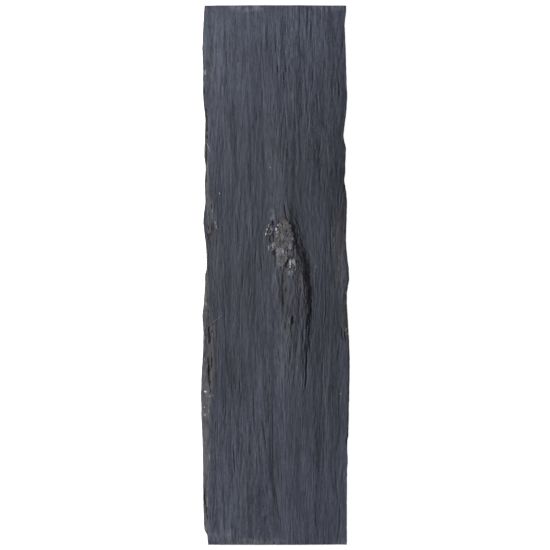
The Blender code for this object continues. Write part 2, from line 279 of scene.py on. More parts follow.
def grain_scale(x, y):
    """Place across the grain: X, less the swerve of the fibres. It is given at the guide, the crest and the
    foot, changes evenly between them, and the swerve fades out over REACH on either side."""
    guide, crest, foot = read(GUIDE, y, 1), read(KNOT, y, 2), read(KNOT, y, 3)
    home = read(CREST_HOME, y, 1)
    beside = x - (guide - GUIDE_HOME) * ease(1 - (guide - x) / REACH)
    between = GUIDE_HOME + (home - GUIDE_HOME) * (x - guide) / (crest - guide)
    steep = home + STEEP_GRAIN * (x - crest) / (foot - crest)
    beyond = x - (foot - home - STEEP_GRAIN) * ease(1 - (x - foot) / REACH)
    return np.select([x < guide, x < crest, x < foot], [beside, between, steep], beyond)


def crinkle(x, y):
    """Sideways waver of the fibres in millimetres: two lengths of wave, in patches."""
    patches = 0.75 + 0.5 * noise(x / 45, y / 70, 63)
    return patches * (1.1 * noise(x / 9, y / 17, 64, 256) + 0.55 * noise(x / 4.5, y / 8.5, 65, 256))


def liveliness(x, y):
    """How strong the fibres stand out: more right of the middle at the head end, and left of it at the foot
    end."""
    head = ease((x + 15) / 40) * ease((y - 130) / 90)
    foot = ease((30 - x) / 50) * ease((-y - 170) / 90)
    return 0.92 + 0.34 * head + 0.28 * foot


# Wide soft places where the slate is paler or darker: (X, Y, half-width, half-length, how much paler). The
# paler ones on the knot's steep face, at X 43 and 59, and along the right band, at X 125, are painted light
# that lifts their shade.
TONE_AND_FILL_SPOTS = (
    (-62, 470, 40, 40, 0.14), (-118, 380, 16, 120, 0.1), (116, 460, 30, 60, -0.2),
    (112, 330, 34, 90, -0.12), (66, 260, 30, 90, -0.14), (16, 250, 26, 60, -0.07),
    (-55, 210, 32, 120, -0.11), (90, 200, 40, 120, -0.03), (112, 150, 28, 60, -0.12), (-6, 112, 7, 12, 0.3),
    (12, 118, 12, 14, 0.15), (43, 66, 9, 42, 0.3), (-112, 30, 34, 120, -0.14), (125, 20, 12, 120, 0.24),
    (59, -15, 8, 50, 0.3), (-55, -30, 26, 60, -0.08), (-6, -60, 18, 70, 0.24), (28, -50, 18, 50, -0.17),
    (-114, -190, 6, 20, -0.12), (-104, -150, 24, 50, -0.12), (-100, -200, 20, 60, -0.06),
    (8, -200, 26, 100, 0.18), (-128, -340, 10, 110, 0.08), (55, -350, 26, 60, 0.13),
    (108, -350, 28, 60, 0.08), (-60, -440, 36, 70, -0.07), (0, -440, 24, 60, 0.08),
    (110, -460, 28, 50, -0.07),
)


def paleness_with_fill_light(x, y):
    """How pale the slate is: palest at its two ends, the head end most, and darker along the right side of
    the head end. It follows the square of the distance from the middle, with soft paler or darker spots. The
    paler spots on the knot's steep face and along the right band are painted light that lifts their shade."""
    far = y / LENGTH
    right = ease((x - 75) / 40) * ease((y - 60) / 60)
    spots = sum(amount * ease(1.4 - apart(x, y, *place)) for *place, amount in TONE_AND_FILL_SPOTS)
    return 0.79 + 3.1 * far**2 + 0.12 * far - 0.12 * right + spots + 0.05 * noise(x / 50, y / 120, 66)


SPLINTERS = 620  # slivers that have sprung off the cleft face, each leaving a long shallow scar
# The deepest scars: (X at the top, X at the bottom, Y at the top, Y at the bottom, width, depth).
GROOVES = (
    (45, 46, 496, 432, 1.6, 1.3), (58.5, 59.5, 470, 432, 1.5, 1.1), (69.5, 70.5, 436, 396, 1.6, 1.3),
    (70, 69, 382, 346, 2.2, 2), (4.5, 6.5, 388, 374, 2.6, 2.4), (26.5, 28, 390, 374, 2.8, 2.6),
    (16, 17, 378, 360, 1.8, 1.8), (1, 1.5, 430, 410, 1.8, 1.6), (36, 37, 345, 296, 1.5, 1),
    (-27, -26, 410, 352, 1.4, 0.8), (19, 20.5, 330, 214, 1.8, 0.4), (16.5, 19, 134, 112, 1.4, 1),
    (19, 23.5, 113, 99, 1.4, 1.3), (31.5, 36.5, 130, 90, 2, 0.8), (61, 58.5, -81, -102, 1.8, 1.8),
    (63.5, 65.5, -120, -143, 1.7, 1.6), (58, 57, -142, -205, 1.9, 1.8), (71, 70, -150, -190, 1.3, 0.9),
    (20.5, 24.5, -120, -168, 1.5, 1.2), (25.5, 27.5, -154, -206, 1.8, 1.4),
    (18.5, 20.5, -150, -174, 1.6, 0.9), (21, 20, -206, -242, 1.4, 1), (14.5, 18, -28, -54, 3.4, 1),
    (32, 33.5, -60, -92, 1.8, 1.3), (-38, -36, -252, -300, 1.6, 0.9), (-4.5, -3.5, -282, -352, 1.8, 1),
    (96, 96.5, 250, 196, 1.4, 0.8), (57.5, 58.5, 78, 64, 1.8, 1.4), (76, 77.5, 60, 40, 1.5, 0.9),
    (88, 87, -160, -240, 1.4, 0.9), (-66, -65, -60, -130, 1.3, 0.8), (-84, -83, 200, 140, 1.3, 0.7),
    (72, 71, -330, -420, 1.5, 0.9), (33, 33.5, 452, 441, 2.2, 1.6), (43.5, 43, 450, 440, 1.6, 1.2),
    (6, 6.5, 424, 411, 2, 1.5), (17.5, 17, 416, 405, 1.8, 1.2), (11, 8, 384, 372, 2, 2),
    (72.5, 73.5, 444, 398, 1.8, 1.2), (69.5, 68, 376, 342, 4, 1.2), (110, 107, 394, 381, 1.5, 1.5),
    (109.5, 106.5, 375, 365, 1.6, 1.5), (113.5, 113.5, 417, 405, 1.6, 1.2),
    (102.6, 104.2, 104, 36, 1.7, 1.5), (102, 101.5, 352, 334, 1.5, 1.2), (85.5, 84.5, 342, 328, 1.7, 1.2),
    (32.5, 31.5, 324, 308, 1.8, 1.2), (126, 125, 434, 420, 1.8, 1.4), (-6.5, -6, 470, 459, 1.7, 1.6),
    (-83.5, -82.5, 447, 432, 1.7, 1.3), (-14, -13.5, 438, 426, 1.8, 1.2), (-21.5, -20.5, 377, 359, 1.6, 1),
    (-23.5, -22.5, 350, 312, 1.6, 1), (-100.5, -99.5, 350, 328, 1.6, 1), (-2.5, -1, 316, 304, 1.8, 1.4),
    (-49.5, -48.5, 368, 350, 1.5, 0.9), (-91, -90, -196, -332, 1.6, 0.8),
    (-77.5, -73.5, -316, -372, 2, 1.5), (-39.5, -38.5, -206, -274, 2, 1.5),
    (-4.5, -3.5, -240, -292, 1.8, 1.5), (-65.5, -64.5, -194, -218, 1.6, 1.3),
    (-80, -79.5, -200, -218, 1.8, 1.2), (-34.5, -31.5, -330, -372, 1.6, 1.2),
    (-29.5, -28.5, -296, -330, 1.4, 1), (-89.5, -88.5, -322, -345, 1.9, 1.3),
    (-9.5, -9, -184, -200, 1.7, 1.3), (113, 114, -378, -390, 1.9, 1.7), (113.5, 116, -388, -418, 1.7, 1.3),
    (98, 99, -400, -420, 1.6, 1.2), (99.5, 100.5, -308, -328, 1.8, 1.3), (104, 105, -346, -368, 1.6, 1.2),
    (90, 91.5, -326, -366, 1.8, 1), (12, 14, -368, -394, 1.8, 1.2), (22, 24.5, -378, -418, 1.7, 1),
    (28, 29.5, -414, -432, 1.7, 1.2), (124, 125, -360, -382, 1.7, 1.3), (-70, -68.5, 112, 60, 1.5, 0.8),
    (-46, -45, 60, 8, 1.5, 0.8), (-62, -61, -250, -300, 1.4, 0.8),
)
# Cracks and broken-out pockets in the broken bands and round the crust, painted black as their shade: the
# same six.
CRACKS = (
    (-123.6, -122.6, -96, -112, 1.8, 3), (-122.8, -121.8, -108, -128, 1.9, 3.5),
    (-124.6, -123.8, -152, -168, 1.8, 3.5), (-124, -122.4, -162, -186, 2.3, 4.5),
    (-122.6, -121.4, -182, -206, 2.1, 4.5), (-121.6, -120.2, -200, -218, 1.7, 3.5),
    (-118.5, -117, -148, -164, 1.6, 2.2), (-117.6, -116.4, -160, -178, 1.5, 2.2),
    (-127.6, -127, 309, 300, 1.7, 2.6), (-126.8, -126.4, 299, 291, 2, 3),
    (-126.2, -125.6, 289, 280, 2.3, 3.4), (-126, -124.4, 279, 265, 2.8, 4.2),
    (-126, -125.4, 263, 250, 2.2, 3.4), (-127.6, -127, 246, 235, 2.2, 3.2),
    (-126.8, -126, 234, 220, 2.5, 3.8), (-127.6, -127, 219, 204, 2.3, 3.2),
    (-130.4, -130, 348, 336, 1.4, 2.2), (-130.8, -130.4, 382, 370, 1.2, 2),
    (-127.6, -126.6, -428, -440, 1.7, 3), (-128, -127.4, 192, 174, 1.5, 2.2),
    (-125.4, -122.4, 78, 66, 2.2, 2.4), (-122.4, -121.4, 120, 78, 1.3, 1.2), (130, 130.4, 90, 76, 1.6, 2.4),
    (122.4, 121.4, 60, 36, 1.3, 1.4), (129.6, 130.4, -102, -120, 1.9, 2.8),
    (133.2, 133.6, -299, -320, 1.6, 3), (127.9, 128.4, 174, 152, 1.4, 2.2),
    (127.4, 128.2, 264, 248, 1.4, 2.2), (-131.2, -130.4, -396, -424, 1.5, 3.5),
    (-130.4, -127.4, -418, -432, 1.2, 3), (122.6, 126.4, -94, -124, 1.5, 1.8),
    (-4.6, -2.4, 100, 94, 1.7, 2.4), (-0.6, 0.9, 47, 30, 1.5, 1.6), (0.4, 2, 34, 14, 1.3, 1.2),
    (-9.8, -9.4, 73, 61, 1.2, 1.4), (-3.2, -3, 77, 61, 1.3, 1.8), (16.6, 14.4, 13, -6, 1.8, 1.2),
    (16.8, 19.2, 132, 110, 1.5, 1.3), (19, 26, 112, 92, 1.5, 1.4), (33.5, 38.5, 131, 100, 1.6, 0.9),
)
# Where clay-brown shows between the fibres: (X, Y, half-width, half-length, share).
BROWN = (
    (121, 66, 15, 50, 1), (128, -60, 11, 70, 1), (118, 8, 12, 32, 0.9), (100, -40, 14, 60, 0.35),
    (17, -26, 9, 32, 0.9), (42, 70, 9, 40, 0.7), (-114, -190, 6, 22, 0.7), (0, -28, 5, 34, 0.6),
    (44, 20, 9, 50, 0.85), (9, 114, 11, 13, 0.95), (-6, 66, 7, 7, 0.8), (28, 116, 8, 20, 0.6),
    (30, -70, 16, 50, 0.5), (54, -10, 10, 56, 0.95), (22, -150, 8, 40, 0.45), (43, -156, 4, 16, 0.9),
    (-16, -238, 8, 40, 0.35), (0, -410, 5, 70, 0.5), (-117, 84, 6, 17, 0.8), (-126, 60, 5, 16, 0.5),
    (60, -40, 7, 60, 0.5), (14, 190, 10, 60, 0.25), (-122, 400, 5, 30, 0.6), (-124.6, 152, 3.6, 26, 0.8),
    (-60, -420, 12, 60, 0.25), (-40, -494, 60, 7, 0.5), (126, -492, 8, 8, 0.5),
)
# Light, scuffed places on the cleft face: the same five numbers.
WORN = (
    (-50, 497, 34, 8, 0.8), (98, 497, 30, 8, 0.8), (-30, -497, 55, 9, 0.7), (120, -497, 14, 8, 0.6),
    (-4, 240, 10, 110, 0.25), (-112, 380, 26, 120, 0.2), (-100, -484, 30, 17, 0.45), (-6, 112, 6, 11, 0.75),
    (-126.4, -421, 1.6, 8, 0.8), (27, -86, 2, 4, 0.7), (8, -136, 14, 70, 0.25),
)


def scar(across, along, centre, slant, middle, half_length, width, lean):
    """One long scar, from 0 to 1: a boat shape with pointed ends, deepest on the side that it leans to."""
    t = (along - middle) / half_length
    d = (across - centre - slant * t) / (width * np.sqrt(np.clip(1 - t * t, 0.0004, 1)))
    bowl = np.clip(1 - d * d, 0, 1)
    return np.where(np.abs(t) < 1, bowl * (1 + lean * np.clip(d, -1, 1)) / (1 + abs(lean)), 0)


def cuts(x, y, places):
    """Depth of the scars in a table, the deepest at each place."""
    total = np.zeros_like(x)
    for x_top, x_bottom, y_top, y_bottom, width, depth in places:
        centre, slant = (x_top + x_bottom) / 2, (x_top - x_bottom) / 2
        cut = scar(x, y, centre, slant, (y_top + y_bottom) / 2, (y_top - y_bottom) / 2, width, -0.5)
        total = np.maximum(total, depth * cut)
    return total


def scars(x, s, y):
    """Depth of all the scars, x across the slab and s across the grain. The splinters' places are drawn at
    random along the grain, and right of the middle they are deeper."""
    rng = np.random.default_rng(70)
    middle = rng.uniform(-500, 500, SPLINTERS)
    centre = rng.uniform(-128, 128, SPLINTERS)
    half_length = rng.lognormal(2.45, 0.5, SPLINTERS)
    width = rng.uniform(0.9, 2.3, SPLINTERS)
    depth = 0.12 + 1.1 * rng.random(SPLINTERS) ** 3
    lean = rng.uniform(-0.9, 0.9, SPLINTERS)
    rows = y[:, 0]
    slant = rng.normal(0, 0.055, SPLINTERS) * half_length
    total = np.zeros_like(x)
    for k in range(SPLINTERS):
        band = slice(*np.searchsorted(rows, (middle[k] - half_length[k], middle[k] + half_length[k])))
        cut = scar(s[band], y[band], centre[k], slant[k], middle[k], half_length[k], width[k], lean[k])
        total[band] = np.maximum(total[band], depth[k] * (1 + 0.4 * (centre[k] > 10)) * cut)
    return total + cuts(x, y, GROOVES)


# The fibres: (width, length, height, what the height gains right of the middle, seed). Then the creases
# between them: (width, length, depth, sharpness, seed).
STRANDS = ((8.5, 56, 0.40, -0.18, 31), (4.4, 22, 0.26, 0.16, 32), (2.3, 9, 0.21, 0.05, 33))
CREASES = ((3.2, 15, 0.36, 6, 34), (1.9, 8.5, 0.22, 4, 35))


def fibres(s, y):
    """Relief of the fibres: the sum of three widths of streak, less two sets of narrow sharp-bottomed
    creases, each a power of 1 less the size of a streak."""
    right = ease((s + 15) / 50)
    relief = sum(
        (height + gain * right) * streaks(s, y, width, length, seed)
        for width, length, height, gain, seed in STRANDS
    )
    for width, length, depth, sharpness, seed in CREASES:
        relief = relief - depth * (1 - np.abs(streaks(s, y, width, length, seed))) ** sharpness
    return relief


# The torn tail: the line that limits it on the left, as (distance along Y, X), and Y of its two ends.
TORN_LEFT = ((34, -8), (-10, 0), (-40, 4), (-75, 10), (-150, 20), (-235, 24))
TAIL_ENDS = (34, -235)


def torn_tail(x, s, y):
    """Relief of the knot's tail: splintered ridges along the fibres and a second set slanted across them,
    between the toe and the crest, gone at the ends."""
    left, crest = read(TORN_LEFT, y, 1), read(KNOT, y, 2)
    inside = ease((x - left + 4) / 9) * ease((crest + 6 - x) / 6)
    span = ease((TAIL_ENDS[0] - y) / 34) * ease((y - TAIL_ENDS[1]) / 70)
    coarse = 0.7 * (1 - 1.6 * np.abs(streaks(s, y, 5, 32, 81))) + 0.62 * streaks(s, y, 2.6, 13, 82)
    across = 0.45 * streaks(x + 0.25 * y, y, 3.4, 15, 86) + 0.28 * noise(x / 1.9, y / 4.5, 83, 256)
    return inside * span * (coarse + across)


def torn_face(x, s, y):
    """Relief of the knot's steep face: splinters that stand along it, strongest where the knot is high."""
    crest, foot = read(KNOT, y, 2), read(KNOT, y, 3)
    near = ease((x - crest + 12) / 8) * ease((foot + 8 - x) / 8) * ease(read(KNOT, y, 4) / 7)
    ribs = 0.9 * (1 - 1.9 * np.abs(streaks(s, y, 3.4, 18, 84)))
    chips = 0.9 * noise(s / 2.2, y / 4.6, 85, 256)
    return near * (ribs + chips)


def smoothed(height, passes):
    """The heights with their small relief evened out: each point takes half of its own height and a quarter
    of each neighbour's in its row, again and again."""
    for _ in range(passes):
        padded = np.pad(height, ((0, 0), (1, 1)), mode="edge")
        height = 0.25 * padded[:, :-2] + 0.5 * height + 0.25 * padded[:, 2:]
    return height


def face_height(x, y):
    """Z of the cleft face with its fibres but without the scars. The fibres are weaker in the left band."""
    s = grain_scale(x, y) + crinkle(x, y)
    left, _ = band_depth(x, y)
    relief = liveliness(x, y) * fibres(s, y) + torn_tail(x, s, y) + torn_face(x, s, y)
    return broad_form(x, y) + (1 - 0.4 * ease(left * 4)) * relief


SIDE_LINES = (-90, 106)  # X of the two lines of columns between the bands and the knot
FAN = (-16, 20, 23)  # how far the guide's, the crest's and the foot's lines spread above the knot


def place_columns(y, counts):
    """X of every column at every row: lines at the sides, at the bands and at the grain's own stops, with
    counts[k] equal steps between line k and line k + 1."""
    left, right = read(LEFT_OUTLINE, y, 1), read(RIGHT_OUTLINE, y, 1)
    above = ease((y - 140) / 80)
    stops = [
        left,
        left + read(LEFT_BAND, y, 1),
        np.full_like(y, SIDE_LINES[0]),
        read(GUIDE, y, 1) + FAN[0] * above,
        read(KNOT, y, 2) + FAN[1] * above,
        read(KNOT, y, 3) + FAN[2] * above,
        np.full_like(y, SIDE_LINES[1]),
        right - read(RIGHT_BAND, y, 1),
        right,
    ]
    parts = []
    for k, count in enumerate(counts):
        share = np.arange(count) / count
        parts.append(stops[k][:, None] * (1 - share) + stops[k + 1][:, None] * share)
    return np.concatenate([*parts, stops[-1][:, None]], axis=1)


def spread_rows(stretches):
    """Row distances from stretches of (end, number of steps), each divided evenly."""
    places = [np.array([stretches[0][0]], float)]
    for (start, _), (end, steps) in zip(stretches, stretches[1:]):
        places.append(start + (end - start) * np.arange(1, steps + 1) / steps)
    return np.concatenate(places)


UNDERCUT = 6  # how far the broken sides lean in from their widest line to the back
SIDE_LEDGE = 3.2  # how far their thick layers stand back
SIDE_LAYER = 1.7  # thickness of their thin layers
LOST_FLAKE = (3, 38)  # thickness and reach of the flakes lost along the back's long edges


def side_inset(y, w, seed):
    """How far a broken side lies inside its widest line at level w, as in the solid: an undercut that grows
    with the power 1.4 of the way down, and thick layers that come and go."""
    lean = UNDERCUT * (0.7 + 0.5 * noise(y / 60, np.full_like(y, 5), seed)) * (1 - w) ** 1.4
    layers = SIDE_LEDGE * np.clip(noise(y / 30, w * 9, seed + 1), 0, 1) * ease((1 - w) * 6)
    return lean + layers


def torn_layers(y, z, seed):
    """Extra inset of a broken side: thin layers of uneven reach, each snapped off in short lengths."""
    layer = np.floor(z / SIDE_LAYER + 0.5 * noise(y / 70, z / 9, seed + 3))
    snapped = np.clip(noise(y / 11, layer * 1.37, seed), -0.2, 1) + 0.2
    return 1.5 * snapped + 0.5 * noise(y / 3.8, z / 1.3, seed + 1, 256)


def back_height(x, y, left, right):
    """Z of the back: flat, with thin flakes lost along its two long edges."""
    thick, reach = LOST_FLAKE
    height = np.zeros_like(x)
    for seed, inward in ((21, x - left), (22, right - x)):
        lost = np.clip(1.7 * noise(y / 55, np.full_like(y, 2), seed), 0, 1)
        height = np.maximum(height, thick * lost * np.clip(1 - inward / reach, 0, 1))
    return height


FACE_COLUMNS = (16, 32, 86, 68, 14, 58, 22, 10)  # steps between neighbouring lines of columns
BACK_COLUMNS = 36
SIDE_LEVELS = 14
LEFT_SEED, RIGHT_SEED = 11, 13  # each broken side's own noise
# The rings: (distance along Y, even steps up to it from the one before).
ROWS = ((-500, 0), (-497, 2), (-490, 3), (-115, 82), (132, 92), (490, 76), (497, 3), (500, 2))

EVENED = 40  # passes of smoothing that the relief is measured against
FULL_RELIEF = 0.9  # relief that counts as standing fully over or under what is round it
FULL_CRACK_SHADE = 1.6  # depth at which a crack is painted fully black as its shade


def broken_side(y, w, edge_x, edge_z, foot_z, inward, seed):
    """Points of one broken side at levels w, 1 at the cleft face's edge and 0 at the back. It is set in
    from that edge by its undercut and by its torn layers, which fade out at the top and the bottom."""
    z = foot_z + (edge_z - foot_z) * w
    torn = np.clip(torn_layers(y, z, seed + 80), 0, None) * ease((1 - w) * 5) * ease(w * 5)
    return np.stack([edge_x + inward * (side_inset(y, w, seed) + torn), y, z], axis=2)


def stone_rings():
    """All points of the stone as rings round it, one ring per row: face, right side, back, left side.
    Returns the points in millimetres, the grain place of each, and its shares: how broken, how brown, how
    worn, how far it stands over or under the relief round it for painted shade and highlight, how deep its
    crack is for painted black shade, how lively, and how pale with painted light on the steep face and the
    right band."""
    rows = spread_rows(ROWS)
    x = place_columns(rows, FACE_COLUMNS)
    y = np.repeat(rows[:, None], x.shape[1], axis=1)
    s = grain_scale(x, y) + crinkle(x, y)
    left_band, right_band = band_depth(x, y)
    broken = (ease(left_band * 7) + 0.5 * ease(right_band * 4)) * (1 - whole(x, y))
    # The cracks' depth: cut into the face and, in the colour, painted black as their shade.
    shaded_crack = cuts(x + 1.3 * noise(x / 6, y / 5.5, 68, 256), y, CRACKS)
    z = face_height(x, y) - (1 - 0.75 * broken) * scars(x, s, y) - shaded_crack
    # How far the relief stands over or under what is round it. In the colour this paints shade and
    # highlight.
    relief = z - knot(x, y) + band_slope(left_band, right_band, y)
    relief_shading = np.clip((relief - smoothed(relief, EVENED)) / FULL_RELIEF, -1, 1)
    level_line = np.zeros_like(rows)
    ragged = 0.5 * noise(rows / 7, level_line, 91) + 0.25 * noise(rows / 3, level_line, 92)
    edge = ease((left_band + right_band - 0.5) * 2)
    x = x + edge * np.sign(x) * -np.abs(ragged)[:, None]

    column, zero = rows[:, None], np.zeros((len(rows), 1))
    foot_left = read(LEFT_OUTLINE, rows, 1)[:, None] + side_inset(column, zero, LEFT_SEED)
    foot_right = read(RIGHT_OUTLINE, rows, 1)[:, None] - side_inset(column, zero, RIGHT_SEED)
    share = (np.arange(BACK_COLUMNS + 1) / BACK_COLUMNS)[None, :]
    back_x = foot_right + (foot_left - foot_right) * share
    back_y = np.repeat(column, BACK_COLUMNS + 1, axis=1)
    back_z = back_height(back_x, back_y, foot_left, foot_right)

    level = (1 - np.arange(1, SIDE_LEVELS) / SIDE_LEVELS)[None, :]
    w, side_y = np.repeat(level, len(rows), axis=0), np.repeat(column, SIDE_LEVELS - 1, axis=1)
    right_side = broken_side(side_y, w, x[:, -1:], z[:, -1:], back_z[:, :1], -1, RIGHT_SEED)
    left_side = broken_side(side_y, w, x[:, :1], z[:, :1], back_z[:, -1:], 1, LEFT_SEED)[:, ::-1]
    face, back = np.stack([x, y, z], axis=2), np.stack([back_x, back_y, back_z], axis=2)
    points = np.concatenate([face, right_side, back, left_side], axis=1)
    grain = points.copy()
    grain[:, : x.shape[1], 0] = s

    brown = np.maximum(ovals(x, y, BROWN, *STAIN_EDGE), np.minimum(1.7 * broken, 0.95))
    shares = {}
    for label, on_face, on_side, on_back in (
        ("broken", broken, 1, 0),
        ("brown", brown, 0.8, 0),
        ("worn", ovals(x, y, WORN, *STAIN_EDGE), 0, 0),
        ("relief_shading", relief_shading, 0, 0),
        ("shaded_crack", np.clip(shaded_crack / FULL_CRACK_SHADE, 0, 1), 0, 0),
        ("lively", liveliness(x, y), 1, 0),
        ("pale_fill_share", paleness_with_fill_light(x, y), 1, 1),
    ):
        side, under = np.full_like(w, on_side), np.full_like(back_x, on_back)
        shares[label] = np.concatenate([on_face, side, under, side], axis=1)
    return points, grain, shares


def ring_faces(rows, columns):
    """Quads between neighbouring rings, each ring closed on itself, and two many-sided end caps."""
    here = np.arange(rows * columns).reshape(rows, columns)
    right = np.roll(here, -1, axis=1)
    quads = np.stack([here[:-1], right[:-1], right[1:], here[1:]], axis=2).reshape(-1, 4)
    return [*quads.tolist(), here[0, ::-1].tolist(), here[-1].tolist()]


def make_piece(name, points, faces, attributes):
    """A mesh object at the origin from points in millimetres and faces as lists. Each named attribute gives
    every point a value, or a vector where its array has a third axis."""
    mesh = bpy.data.meshes.new(name)
    mesh.from_pydata((points.reshape(-1, 3) * MM).tolist(), [], faces)
    for label, values in attributes.items():
        kind, field = ("FLOAT_VECTOR", "vector") if values.ndim == 3 else ("FLOAT", "value")
        attribute = mesh.attributes.new(label, kind, "POINT")
        attribute.data.foreach_set(field, np.ascontiguousarray(values, np.float32).ravel())
    mesh.update()
    mesh.validate()
    piece = bpy.data.objects.new(name, mesh)
    bpy.context.scene.collection.objects.link(piece)
    return piece


SHARP_EDGE = 50  # degrees between two faces from which the edge between them shades sharp

points, grain, shares = stone_rings()
stone = make_piece("stone", points, ring_faces(*points.shape[:2]), {"grain": grain * MM, **shares})
stone.data.shade_smooth()
stone.data.set_sharp_from_angle(angle=math.radians(SHARP_EDGE))
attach(stone, "root")
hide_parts(NODE)


def new_material(name):
    """A material with its node tree and its shader."""
    material = bpy.data.materials.new(name)
    material.use_nodes = True
    return material, material.node_tree, material.node_tree.nodes["Principled BSDF"]


def new_group(name, output, **inputs):
    """An empty shader group with one output value. Its inputs are given by their defaults, a vector's as a
    tuple. Returns the group, the outputs of its entry and the input of its exit."""
    group = bpy.data.node_groups.new(name, "ShaderNodeTree")
    for label, default in inputs.items():
        kind = "NodeSocketVector" if isinstance(default, tuple) else "NodeSocketFloat"
        group.interface.new_socket(label, in_out="INPUT", socket_type=kind).default_value = default
    group.interface.new_socket(output, in_out="OUTPUT", socket_type="NodeSocketFloat")
    entry = group.nodes.new("NodeGroupInput")
    return group, entry.outputs, group.nodes.new("NodeGroupOutput").inputs[0]


def add(tree, kind, settings=None, **links):
    """Adds a node, sets its properties, and joins or sets its inputs, by name or by number as i0 and i1."""
    node = tree.nodes.new(kind)
    for label, value in (settings or {}).items():
        setattr(node, label, value)
    for label, value in links.items():
        numbered = label[0] == "i" and label[1:].isdigit()
        socket = node.inputs[int(label[1:]) if numbered else label]
        if isinstance(value, bpy.types.NodeSocket):
            tree.links.new(value, socket)
        else:
            socket.default_value = value
    return node


def attribute_value(tree, name):
    """One of the mesh's attributes as a value."""
    return add(tree, "ShaderNodeAttribute", {"attribute_name": name}).outputs["Fac"]


def set_bump(tree, shader, height, strength, distance):
    """Joins a Bump node on a height to the shader's normal."""
    bump = add(tree, "ShaderNodeBump", Height=height, Strength=strength, Distance=distance)
    tree.links.new(bump.outputs["Normal"], shader.inputs["Normal"])


def math_node(tree, operation, first, second=0):
    """The output of one Math node."""
    return add(tree, "ShaderNodeMath", {"operation": operation}, i0=first, i1=second).outputs[0]


def weighted(tree, *parts):
    """The sum of values, each given with its weight."""
    total = 0
    for value, weight in parts:
        total = math_node(tree, "ADD", math_node(tree, "MULTIPLY", value, weight), total)
    return total


def scaled(tree, vector, factors):
    """A vector times another, number by number."""
    return add(tree, "ShaderNodeVectorMath", {"operation": "MULTIPLY"}, i0=vector, i1=factors).outputs[0]


def blend(tree, share, first, second, kind="MIX"):
    """The output of a Mix node on two colours."""
    settings = {"data_type": "RGBA", "blend_type": kind}
    return add(tree, "ShaderNodeMix", settings, i0=share, i6=first, i7=second).outputs[2]


def stretch(tree, value, low, high, to_low=0, to_high=1):
    """The value's range low to high carried to another range and held at its ends."""
    node = add(tree, "ShaderNodeMapRange", i0=value, i1=low, i2=high, i3=to_low, i4=to_high)
    return node.outputs["Result"]


def grain_group():
    """Streaks drawn out along the fibres: noise on the grain coordinates, squeezed along the slab."""
    group, entry, streak = new_group("Slate grain", "Streak", Vector=(0, 0, 0), Across=300, Along=16)
    pull = add(group, "ShaderNodeCombineXYZ", X=entry["Across"], Y=entry["Along"], Z=entry["Across"])
    place = scaled(group, entry["Vector"], pull.outputs[0])
    cloud = add(group, "ShaderNodeTexNoise", Vector=place, Scale=1, Detail=2, Roughness=0.55)
    group.links.new(cloud.outputs["Fac"], streak)
    return group


GRAIN = grain_group()


def streak_value(tree, vector, across, along):
    """One use of the grain group."""
    node = add(tree, "ShaderNodeGroup", {"node_tree": GRAIN}, Vector=vector, Across=across, Along=along)
    return node.outputs["Streak"]


def mottle_group():
    """Cloudy grain of minerals, from 0 to 1, with grains of 1 / Scale across."""
    group, entry, mottle = new_group("Mineral mottle", "Mottle", Vector=(0, 0, 0), Scale=100)
    cloud = add(group, "ShaderNodeTexNoise", Vector=entry["Vector"], Scale=entry["Scale"], Detail=4,
                Roughness=0.62)
    group.links.new(cloud.outputs["Fac"], mottle)
    return group


MOTTLE = mottle_group()


def mottle_value(tree, vector, scale):
    """One use of the mottle group."""
    return add(tree, "ShaderNodeGroup", {"node_tree": MOTTLE}, Vector=vector, Scale=scale).outputs["Mottle"]


SLATE_DARK = (0.026, 0.029, 0.042, 1)
SLATE_LIGHT = (0.074, 0.082, 0.114, 1)
CLAY_DARK = (0.025, 0.0236, 0.028, 1)
CLAY_LIGHT = (0.073, 0.069, 0.080, 1)
SCUFFED = (0.125, 0.132, 0.158, 1)
CRACK_SHADE = (0.012, 0.011, 0.011, 1)


